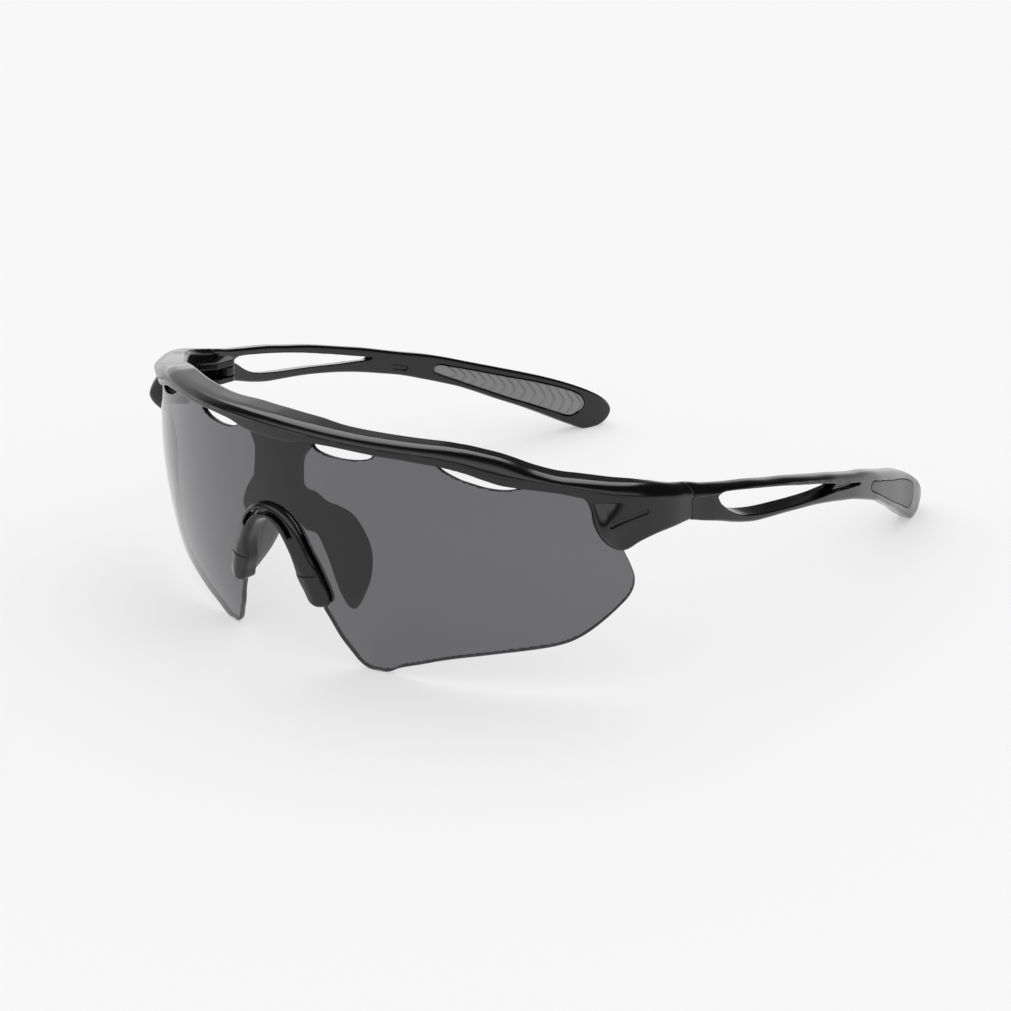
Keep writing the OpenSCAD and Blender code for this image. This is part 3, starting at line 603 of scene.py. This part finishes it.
# ------------------------------------------------------------------ arched nose clip
# left half on the lens front, x and z: outer edge to the foot, and back up the inner edge
CLIP_OUTER = [
    [0, 31.9], [2.6, 31.5], [4.6, 30.6], [6.2, 29.3], [7.4, 27.8], [8.6, 25.7], [9.8, 23.4],
    [11.1, 21.2], [12.1, 18.8], [12.9, 16.6], [13.3, 14.6]]
CLIP_INNER = [
    [12.6, 13.2], [9.1, 13.4], [7.9, 15.8], [6.7, 18.4], [6.4, 20.4], [5.8, 22.8], [4.5, 25.3],
    [3.1, 27.3], [1.6, 28.5], [0, 29.0]]
# left half of the slot under the top of the arch
CLIP_SLOT = [[0, 30.8], [2.4, 30.4], [4.2, 29.5], [5.6, 28.2], [6.6, 26.6], [5.8, 26.0],
             [4.8, 27.5], [3.6, 28.7], [1.9, 29.6], [0, 29.9]]
clip_outline = Outline(spline(both_sides(CLIP_OUTER + CLIP_INNER), closed=True), cell=0.15, pad=4)
within_outer = Outline(np.vstack([spline(mirrored(CLIP_OUTER)), [[13.3, 5], [-13.3, 5]]]),
                       cell=0.15, low=[-20, 6], high=[20, 38])
slot_outline = Outline(both_sides(CLIP_SLOT), cell=0.15, pad=4)


def clip_sdf(x, y, z):
    foot_x, foot_z, gap = lens_foot(x, y, z)
    depth = -within_outer(foot_x, foot_z)
    # front face with a low ridge, falling away to the outside and to the nose side
    top = 1.95 - 0.75 * (1 - step(depth, 0.0, 2.7)) - 0.35 * step(depth, 2.8, 4.8)
    body = cut(clip_outline(foot_x, foot_z), gap - top, 0.8)
    body = cut(body, -(gap + LENS_T + 0.3), 0.2)
    # fine line across the feet
    line = np.abs(foot_z - 19.2 - 0.12 * (np.abs(foot_x) - 9)) - 0.14
    body = np.maximum(body, -cut(line, top - 0.25 - gap, 0.1))
    # the lens it straddles
    layer = np.maximum(gap - 0.05, -(gap + LENS_T + 0.05))
    body = np.maximum(body, -np.maximum(lens_outline(foot_x, foot_z) - 0.06, layer))
    return cut(body, -slot_outline(foot_x, foot_z), 0.25)


# ------------------------------------------------------------------ temples
# side views, y and z: upper edge from the hinge to the tip, then lower edge back to the hinge
TOP = [
    [-4, 40.1], [0.05, 39.45], [2.5, 38.9], [5, 38.2], [11, 37.0], [18, 35.8], [24, 34.5],
    [30, 33.3], [35.5, 32.0], [41, 30.6], [47, 29.1], [52.6, 27.5], [58, 26.0], [63.5, 24.6],
    [68.7, 23.0], [73.6, 21.3], [78.3, 19.7], [83, 18.1], [87.7, 16.5], [92.4, 14.8],
    [97.3, 12.8], [102, 10.6], [105, 9.0], [107.6, 7.4], [109.6, 5.8], [110.8, 4.2]]
BOTTOM = [
    [111.0, 3.0], [110.3, 1.7], [108.9, 0.7], [107, 0.1], [106, 0], [103, 0], [101.4, 0.6],
    [99.5, 1.6], [97.3, 2.7], [93.6, 4.7], [91.2, 6.0], [86.5, 8.4], [81.8, 10.6], [77, 13.0],
    [72.3, 15.2], [67.3, 17.1], [62, 19.0], [56.7, 20.8], [51, 22.3], [45.4, 23.7], [39.6, 24.9],
    [34, 25.8], [28, 26.6], [22, 27.2], [17.5, 27.7], [12.6, 28.8], [8, 30.2], [3.5, 31.4],
    [0.05, 32.4], [-4, 33.0]]
# long opening through the arm, and the outer face's groove that runs on behind it
OPENING = [
    [6.8, 35.3], [8.0, 35.9], [9.9, 35.8], [14, 35.1], [21.7, 33.6], [28, 32.2], [33.5, 30.8],
    [39, 29.4], [43.5, 28.15], [46.8, 27.2], [48.7, 26.5], [47.5, 26.15], [44.2, 26.35],
    [39, 26.8], [33.4, 27.5], [27.6, 28.2], [22.5, 28.8], [18, 29.5], [14, 30.4], [11.0, 31.7],
    [8.6, 33.4]]
GROOVE = [[43.5, 27.9], [46.8, 27.1], [50.0, 26.3], [54.0, 25.2], [58.6, 23.95], [58.6, 23.75],
          [54.0, 24.4], [50.0, 25.1], [46.8, 25.8], [43.5, 26.4]]
# the rubber on both faces: upper edge backwards, lower edge forwards
INLAY_TOP = [[66.2, 21.6], [70, 20.5], [74.4, 19.1], [79.1, 17.5], [83.8, 15.9], [88.5, 14.4],
             [93.2, 12.7], [96.9, 11.2], [99.6, 9.9], [101.4, 8.6]]
INLAY_BOTTOM = [
    [102.3, 6.6], [101.6, 5.4], [100.2, 4.7], [98.4, 4.4], [95.7, 5.5], [93.2, 6.7], [88.5, 8.9],
    [83.8, 11.0], [79.1, 13.3], [74.4, 15.6], [70, 17.8], [66.4, 19.6], [65.4, 20.2], [65.2, 21.0]]
arm_outline, opening_outline, groove_outline, inlay_outline = (
    Outline(loop, low=[-6, -3], high=[114, 44]) for loop in (
        spline(TOP + BOTTOM), spline(OPENING, closed=True), spline(GROOVE, 3, closed=True),
        spline(INLAY_TOP + INLAY_BOTTOM, closed=True)))
# over y: x of the arm's middle plane, half its thickness, height of its upper edge
arm_x = smooth_curve([[-10, 64.9], [0, 65.95], [10, 67.2], [20, 67.75], [32, 67.5], [45, 66.1],
                      [58, 63.7], [70, 60.4], [82, 55.7], [95, 50.0], [105, 46.6], [112, 44.7],
                      [118, 43.4]], 2.4)
half_thick = smooth_curve([[0, 2.1], [12, 2.04], [40, 1.89], [60, 1.93], [90, 2.1], [102, 2.06],
                           [107, 1.7], [110, 1.2], [111, 0.9]], 1.0)
arm_top = smooth_curve(TOP, 0.8)
# height and width of the rounded upper outer edge
corner_height = smooth_curve([[-4, 2.7], [0, 2.7], [6, 1.9], [11, 1.15], [18, 1.0], [40, 1.0],
                              [50, 1.5], [60, 1.7], [100, 1.7], [106, 1.3], [111, 1.0]], 1.0)
corner_width = smooth_curve([[-4, 3.2], [0, 3.2], [8, 2.8], [14, 2.4], [42, 2.2], [52, 1.9],
                             [100, 1.7], [106, 1.2], [111, 0.8]], 1.0)
# heights of the middle of the opening and of the arm
opening_mid = smooth_curve([[5, 34.4], [8, 34.6], [14, 32.8], [22, 31.1], [30, 29.7], [38, 28.3],
                            [47.4, 26.8]], 1.0)
arm_mid = smooth_curve([[0, 36.0], [12, 32.9], [24, 31.0], [40, 27.9], [60, 22.7], [80, 15.3],
                        [95, 8.9], [103, 5.0], [112, 3.2]], 3.0)
LOW_HEIGHT, LOW_WIDTH = 1.0, 1.1        # rounding of the lower outer edge
INNER_R = 0.75                          # rounding of the inner edges
MARK_START, MARK_RUN = (54.6, 23.3), (3.2, -0.95)
EAR_HOLES = [(EAR_R + 0.22, EAR_LOW[0] - 0.12, EAR_LOW[1] + 0.08),
             (EAR_R + 0.22, EAR_HIGH[0] - 0.08, EAR_HIGH[1] + 0.22)]


# in the arm solids, out is the distance outwards from the middle plane
def arm_shell(y, out, z):
    """The arm's outer form, before pockets and hinge."""
    thick = half_thick(y)
    edge = arm_outline(y, z)
    upper = step(z - arm_mid(y), -1.2, 1.2)
    height = corner_height(y) * upper + LOW_HEIGHT * (1 - upper)
    width = corner_width(y) * upper + LOW_WIDTH * (1 - upper)
    outer = quarter(out - (thick - width), edge + height, width, height)
    inner = quarter(-out - (thick - INNER_R), edge + INNER_R, INNER_R, INNER_R)
    # at the hinge the face is set back, to carry on the bar's crease
    set_back = CREASE_STEP * (1 - step(y, 1.0, 9.0))
    fold = arm_top(y) - corner_height(y)
    roll = cut(outer, fold - z, 0.2)
    band = cut(outer, out - (thick - set_back), 0.2)
    return np.maximum(np.minimum(roll, band), inner)


def temple_sdf(y, out, z):
    thick = half_thick(y)
    body = arm_shell(y, out, z)
    # the opening's upper and lower walls slant through the arm
    low = 1 - step(z - opening_mid(y), -0.8, 0.8)
    body = cut(body, -opening_outline(y, z + 0.17 * out * low - 0.1 * out * (1 - low)), 0.3)
    groove = cut(groove_outline(y, z), (thick - 1.3) - out, 0.25)
    body = cut(body, -groove, 0.18)
    # pockets for the rubber, outer and inner
    inlay = inlay_outline(y, z)
    body = cut(body, -np.maximum(inlay - 0.1, (thick - 0.62) - out), 0.1)
    body = cut(body, -np.maximum(inlay - 0.28, out + (thick - 1.12)), 0.12)
    # small recess on the inner face
    mark = from_segment(y, z, MARK_START, MARK_RUN) - 0.5
    body = cut(body, -np.maximum(mark, out + (thick - 0.4)), 0.12)
    body = cut(body, SEAM_GAP - y, SEAM_EDGE)
    # room for the bar's ears, and the tongue between them
    x = arm_x(y) + out
    reach = np.hypot(x - PIN_X, y - PIN_Y)
    body = drill(body, reach, z, EAR_HOLES)
    plan = np.minimum(tongue_plan(x, y), reach - EAR_R)
    body = np.minimum(body, cut(plan, slab(z, *TONGUE), EAR_EDGE))
    return np.maximum(body, -(reach - SCREW_R - 0.04))


# ------------------------------------------------------------------ rubber on the temples
TILES, TILE_START, TILE_LENGTH = 13, 69, 31     # chevron tiles, first y, run of all of them
GRIP_PROUD = 0.33
inlay_top = smooth_curve(INLAY_TOP, 0.3)
inlay_bottom = smooth_curve([[65, 20], [70, 17.8], [79.1, 13.3], [88.5, 8.9], [95.7, 5.5],
                             [102, 4.6]], 0.3)


def grip_sdf(y, out, z):
    """Rubber on the inner face."""
    thick = half_thick(y)
    above = -out - (thick + GRIP_PROUD)
    body = cut(inlay_outline(y, z) + 0.02, above, 0.38)
    body = cut(body, out + (thick - 1.07), 0.1)
    middle = (inlay_top(y) + inlay_bottom(y)) / 2
    half_height = np.maximum((inlay_top(y) - inlay_bottom(y)) / 2, 1.0)
    height = np.clip((z - middle) / half_height, -1.3, 1.3)
    lean = 0.35 * height
    # each tile is a shallow scale that ends at its groove
    count = (y - TILE_START + 1.9 * np.abs(height) ** 1.2 + lean - 1.7) * TILES / TILE_LENGTH
    share = count - np.floor(count)
    to_line = np.minimum(share, 1 - share) * TILE_LENGTH / TILES
    scale = 0.10 * share * step(share, 0, 0.2)
    depth = 0.34 * np.exp(-(to_line / 0.26) ** 2)
    tiled = step(count, -0.4, 0.0) * (1 - step(count, TILES + 0.2, TILES + 0.6))
    return np.maximum(body, above + (depth + 0.10 - scale) * tiled * 0.95)


def inlay_sdf(y, out, z):
    """Rubber set into the outer face."""
    body = cut(inlay_outline(y, z), arm_shell(y, out, z) - 0.05, 0.16)
    return cut(body, (half_thick(y) - 0.56) - out, 0.08)


def arm_solid(spans, sdf):
    """Meshes a solid of the arm; spans are y, outwards, and up from the arm's middle height."""
    return solid(spans, lambda x, y, z: sdf(y, x - arm_x(y), z),
                 place=lambda y, out, up: (arm_x(y) + out, y, arm_mid(y) + up),
                 on_grid=lambda y, out, up: sdf(y, out, arm_mid(y) + up))


# ------------------------------------------------------------------ materials
def clear_tree(owner):
    owner.use_nodes = True
    owner.node_tree.nodes.clear()
    return owner.node_tree


def node(tree, kind, *values, operation=None, **inputs):
    """Adds a shader node, sets or links its inputs by place or by name, and gives its outputs."""
    made = tree.nodes.new("ShaderNode" + kind)
    if operation:
        made.operation = operation
    named = [(key.replace("_", " "), value) for key, value in inputs.items()]
    for key, value in [*enumerate(values), *named]:
        if isinstance(value, bpy.types.NodeSocket):
            tree.links.new(value, made.inputs[key])
        else:
            made.inputs[key].default_value = value
    return made.outputs


def new_material(name):
    material = bpy.data.materials.new(name)
    return material, clear_tree(material)


def plastic(name, color, rough, spread, bump, grain, mottle=0.15):
    """Moulded plastic or rubber.

    spread varies the roughness, mottle the colour; grain is the scale of the surface texture.
    """
    material, tree = new_material(name)
    coords = node(tree, "TexCoord")["Object"]
    cloud = node(tree, "TexNoise", Vector=coords, Scale=60.0, Detail=3.0)["Fac"]
    fine = node(tree, "TexNoise", Vector=coords, Scale=grain, Detail=4.0, Roughness=0.6)["Fac"]
    shade = node(tree, "MapRange", Value=cloud, To_Min=1 - mottle, To_Max=1 + mottle)["Result"]
    base = node(tree, "VectorMath", color, operation="SCALE", Scale=shade)["Vector"]
    roughness = node(tree, "MapRange", Value=fine, To_Min=max(rough - spread, 0.02),
                     To_Max=rough + spread)["Result"]
    normal = node(tree, "Bump", Height=fine, Strength=bump, Distance=0.00006)["Normal"]
    shader = node(tree, "BsdfPrincipled", Base_Color=base, Roughness=roughness, Normal=normal,
                  Metallic=0.0, IOR=1.5, Coat_Weight=0.0, Coat_Roughness=0.05)
    node(tree, "OutputMaterial", Surface=shader["BSDF"])
    return material


def lens_material(name, color):
    """Smoked lens: what shows through is darkened at each face, and both faces reflect."""
    material, tree = new_material(name)
    coords = node(tree, "TexCoord")["Object"]
    noise = node(tree, "TexNoise", Vector=coords, Scale=35.0, Detail=2.0)["Fac"]
    height = node(tree, "SeparateXYZ", Vector=coords)["Z"]
    # a touch lighter towards the lower edge
    grade = node(tree, "MapRange", Value=height, From_Min=0.0, From_Max=0.047,
                 To_Min=1.03, To_Max=0.97)["Result"]
    tint = node(tree, "VectorMath", color, operation="SCALE", Scale=grade)["Vector"]
    clear = node(tree, "BsdfTransparent", Color=tint)["BSDF"]
    roughness = node(tree, "MapRange", Value=noise, To_Min=0.015, To_Max=0.035)["Result"]
    gloss = node(tree, "BsdfGlossy", Color=(1, 1, 1, 1), Roughness=roughness)["BSDF"]
    fresnel = node(tree, "Fresnel", IOR=1.5)["Fac"]
    # only the outer side of each face reflects
    behind = node(tree, "NewGeometry")["Backfacing"]
    outer = node(tree, "Math", 1.0, behind, operation="SUBTRACT")["Value"]
    share = node(tree, "Math", fresnel, outer, operation="MULTIPLY")["Value"]
    shader = node(tree, "MixShader", share, clear, gloss)["Shader"]
    node(tree, "OutputMaterial", Surface=shader)
    return material


def metal(name, color, rough):
    """Metal with a fine texture that is drawn together along z."""
    material, tree = new_material(name)
    coords = node(tree, "TexCoord")["Object"]
    squeezed = node(tree, "Mapping", Vector=coords, Scale=(1, 1, 14))["Vector"]
    noise = node(tree, "TexNoise", Vector=squeezed, Scale=1400.0, Detail=3.0)["Fac"]
    roughness = node(tree, "MapRange", Value=noise, To_Min=rough * 0.7,
                     To_Max=rough * 1.4)["Result"]
    normal = node(tree, "Bump", Height=noise, Strength=0.15, Distance=0.00002)["Normal"]
    shader = node(tree, "BsdfPrincipled", Base_Color=(*color, 1), Metallic=1.0,
                  Roughness=roughness, Normal=normal)
    node(tree, "OutputMaterial", Surface=shader["BSDF"])
    return material


BLACK = plastic("gloss_black_nylon", color=(0.0035, 0.0035, 0.0038), rough=0.16, spread=0.03,
                bump=0.02, grain=700.0)
STRUT_BLACK = plastic("satin_black_nylon", color=(0.008, 0.008, 0.0085), rough=0.42, spread=0.06,
                      bump=0.12, grain=1500.0)
CLIP_BLACK = plastic("clip_black_nylon", color=(0.004, 0.004, 0.0044), rough=0.16, spread=0.04,
                     bump=0.04, grain=1000.0)
PAD_RUBBER = plastic("nose_rubber", color=(0.09, 0.09, 0.093), rough=0.55, spread=0.08,
                     bump=0.35, grain=2200.0)
GRIP_RUBBER = plastic("grip_rubber", color=(0.23, 0.23, 0.233), rough=0.62, spread=0.08,
                      bump=0.5, grain=2400.0, mottle=0.1)
INLAY_RUBBER = plastic("inlay_rubber", color=(0.05, 0.05, 0.052), rough=0.38, spread=0.06,
                       bump=0.3, grain=2000.0)
SMOKE = lens_material("smoke_lens", color=(0.375, 0.372, 0.388))
LENS_EDGE = plastic("lens_cut_edge", color=(0.02, 0.02, 0.021), rough=0.25, spread=0.05,
                    bump=0.05, grain=1200.0)
STEEL = metal("screw_steel", color=(0.62, 0.62, 0.63), rough=0.28)
BRASS = metal("insert_brass", color=(0.78, 0.56, 0.25), rough=0.3)


# ------------------------------------------------------------------ build
BAR_CELL, ARM_CELL, FINE_CELL, CLIP_CELL = 0.22, 0.24, 0.2, 0.17
ARMS = ("left_arm", "right_arm")

shape = solid([(-91.08, 91.08, BAR_CELL), (-7.0, 5.3, BAR_CELL), (28.4, 51.0, BAR_CELL)],
              lambda x, y, z: bar_sdf(*path_along_out(x, y), z, x, y),
              place=lambda along, out, z: (*path_xy(along, out), z),
              on_grid=lambda along, out, z: bar_sdf(along, out, z, *path_xy(along, out)))
make("brow_bar", shape, BLACK, "front", "brow_frame")

# the lens's grid rides on its front surface
shape = solid([(-65.2, 65.2, 0.4), (-0.6, 2.8, 0.17), (-1.0, 48.4, 0.4)], lens_sdf,
              place=lambda x, behind, z: (x, behind + lens_y(x, z), z))
lens = make("shield_lens", shape, SMOKE, "front", "lens")
# the cut edge all round is opaque: its faces look along the lens, not through it
lens.data.materials.append(LENS_EDGE)
points, normals, quads = shape
through = gradient(lens_off, points)
through /= np.linalg.norm(through, axis=1)[:, None]
rim = (np.abs((normals * through).sum(1)) < 0.72)[quads].sum(1) >= 2
# the faces only match while validation has dropped none
if len(lens.data.polygons) == len(rim):
    lens.data.polygons.foreach_set("material_index", rim.astype(np.int32))

shape = solid([(-18.2, 18.2, FINE_CELL), (-44.6, -30.0, FINE_CELL), (12.4, 47.8, FINE_CELL)],
              strut_sdf)
make("nose_bridge_strut", shape, STRUT_BLACK, "front", "nose_strut")

shape = solid([(4.4, 17.4, FINE_CELL), (-41.6, -28.8, FINE_CELL), (10.6, 33.6, FINE_CELL)],
              pad_sdf)
make_pair("soft_nose_pad", shape, PAD_RUBBER, ("front", "front"), "nose_pad")

shape = solid([(-15.1, 15.1, CLIP_CELL), (-48.0, -39.4, CLIP_CELL), (12.3, 32.5, CLIP_CELL)],
              clip_sdf)
make("arch_nose_clip", shape, CLIP_BLACK, "front", "nose_clip")

shape = arm_solid([(-1.0, 112.0, ARM_CELL), (-7.2, 2.9, ARM_CELL), (-6.2, 6.2, ARM_CELL)],
                  temple_sdf)
make_pair("temple_arm", shape, BLACK, ARMS, "temple")

shape = arm_solid([(64.4, 103.2, 0.2), (-3.2, -0.4, 0.16), (-6.0, 6.0, 0.2)], grip_sdf)
make_pair("inner_grip", shape, GRIP_RUBBER, ARMS, "temple_grip")

shape = arm_solid([(64.4, 103.2, 0.22), (0.9, 2.8, 0.14), (-6.0, 6.0, 0.22)], inlay_sdf)
make_pair("outer_inlay", shape, INLAY_RUBBER, ARMS, "temple_inlay")

# hinge hardware: the CAD solids as they are, with broken edges and a metal finish
for part, material in (("hinge_screw", STEEL), ("hinge_insert", BRASS)):
    for side in ("left", "right"):
        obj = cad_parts[f"{part}_{side}"]
        obj.data.materials.clear()
        obj.data.materials.append(material)
        bevel = obj.modifiers.new("edges", "BEVEL")
        bevel.width = 0.00006
        bevel.segments = 2
        bevel.limit_method = "ANGLE"
        bevel.angle_limit = math.radians(40)

# ------------------------------------------------------------------ floor
FLOOR_HALF = 6
floor_mesh = bpy.data.meshes.new("floor")
floor_mesh.from_pydata([(x * FLOOR_HALF, y * FLOOR_HALF, 0)
                        for x, y in ((-1, -1), (1, -1), (1, 1), (-1, 1))], [], [(0, 1, 2, 3)])
floor = link_object("floor", floor_mesh)
floor.location = (0, 0, -0.00002)
# a pale sweep lit a little from within, so contact shadows stay faint
floor_material, tree = new_material("pale_floor")
diffuse = node(tree, "BsdfDiffuse", Color=(0.5, 0.5, 0.5, 1))["BSDF"]
glow = node(tree, "Emission", Color=(1, 1, 1, 1), Strength=0.435)["Emission"]
node(tree, "OutputMaterial", Surface=node(tree, "AddShader", diffuse, glow)["Shader"])
floor_mesh.materials.append(floor_material)

# ------------------------------------------------------------------ world
world = bpy.data.worlds.new("studio")
scene.world = world
tree = clear_tree(world)


def ramp(source, *stops):
    """Brightness read from a value by linear stops (value, brightness)."""
    color = node(tree, "ValToRGB", Fac=source)["Color"]
    elements = color.node.color_ramp.elements
    for element, (position, level) in zip(elements, (stops[0], stops[-1])):
        element.position, element.color = position, (level, level, level, 1)
    for position, level in stops[1:-1]:
        elements.new(position).color = (level, level, level, 1)
    return color


def combine(operation, first, second):
    return node(tree, "VectorMath", first, second, operation=operation)["Vector"]


def facing(way):
    """How far the direction looked in agrees with a way."""
    return node(tree, "VectorMath", direction, way, operation="DOT_PRODUCT")["Value"]


# what glossy parts mirror: a bright low horizon, dark above it, and a tall white card towards -x
even = node(tree, "Background", Color=(1, 1, 1, 1), Strength=0.93)["Background"]
direction = node(tree, "TexCoord")["Generated"]
height = node(tree, "SeparateXYZ", Vector=direction)["Z"]
card_side = facing((-0.96, 0.28, 0))
horizon = ramp(height, (0.0, 0.95), (0.10, 0.60), (0.22, 0.05), (0.5, 0.02), (1.0, 0.02))
card = combine("MULTIPLY", ramp(card_side, (0.0, 0.0), (0.79, 0.0), (0.88, 0.85), (1.0, 0.85)),
               ramp(height, (0.0, 1.0), (0.45, 1.0), (0.70, 0.0), (1.0, 0.0)))
# and a high band in front, seen in the forward slopes
band_side = facing((0.25, -0.97, 0))
band = combine("MULTIPLY", ramp(band_side, (0.0, 0.0), (0.05, 0.0), (0.40, 1.0), (1.0, 1.0)),
               ramp(height, (0.0, 0.0), (0.30, 0.0), (0.48, 1.0), (0.80, 1.0), (0.95, 0.5),
                    (1.0, 0.4)))
# half of the band is added to itself
half = ramp(height, (0.0, 0.5), (1.0, 0.5))
band = combine("ADD", band, combine("MULTIPLY", band, half))
mirrored_light = combine("ADD", combine("ADD", horizon, card), band)
glossy = node(tree, "Background", Color=mirrored_light, Strength=1.0)["Background"]
is_glossy = node(tree, "LightPath")["Is Glossy Ray"]
shader = node(tree, "MixShader", is_glossy, even, glossy)["Shader"]
node(tree, "OutputWorld", Surface=shader)


# ------------------------------------------------------------------ lights and camera
def aim(obj, location, target):
    obj.location = location
    way = Vector(target) - Vector(location)
    obj.rotation_euler = way.to_track_quat("-Z", "Y").to_euler()


# the overhead softbox is only mirrored; a weak wide sun gives the diffuse shading its direction
key_data = bpy.data.lights.new("softbox_key", "AREA")
key_data.shape = "RECTANGLE"
key_data.size, key_data.size_y = 0.75, 0.55
key_data.energy = 3.2
key = link_object("softbox_key", key_data)
aim(key, location=(-0.48, 0.42, 0.77), target=(0.03, -0.06, 0.045))
key.visible_diffuse = False

sun_data = bpy.data.lights.new("sun_soft", "SUN")
sun_data.energy = 0.3
sun_data.angle = math.radians(50)
sun = link_object("sun_soft", sun_data)
sun.rotation_euler = (math.radians(-24), math.radians(-20), 0)
sun.visible_glossy = False

camera_data = bpy.data.cameras.new("camera")
camera_data.lens, camera_data.sensor_width = 104.475, 36
camera_data.clip_start, camera_data.clip_end = 0.01, 50
camera = link_object("camera", camera_data)
aim(camera, location=(0.38669, -0.44303, 0.22324), target=(-0.02404, 0.01794, -0.00018))
scene.camera = camera
scene.view_settings.view_transform = "Standard"
scene.view_settings.look = "None"
scene.cycles.transparent_max_bounces = 24
scene.cycles.max_bounces = 10

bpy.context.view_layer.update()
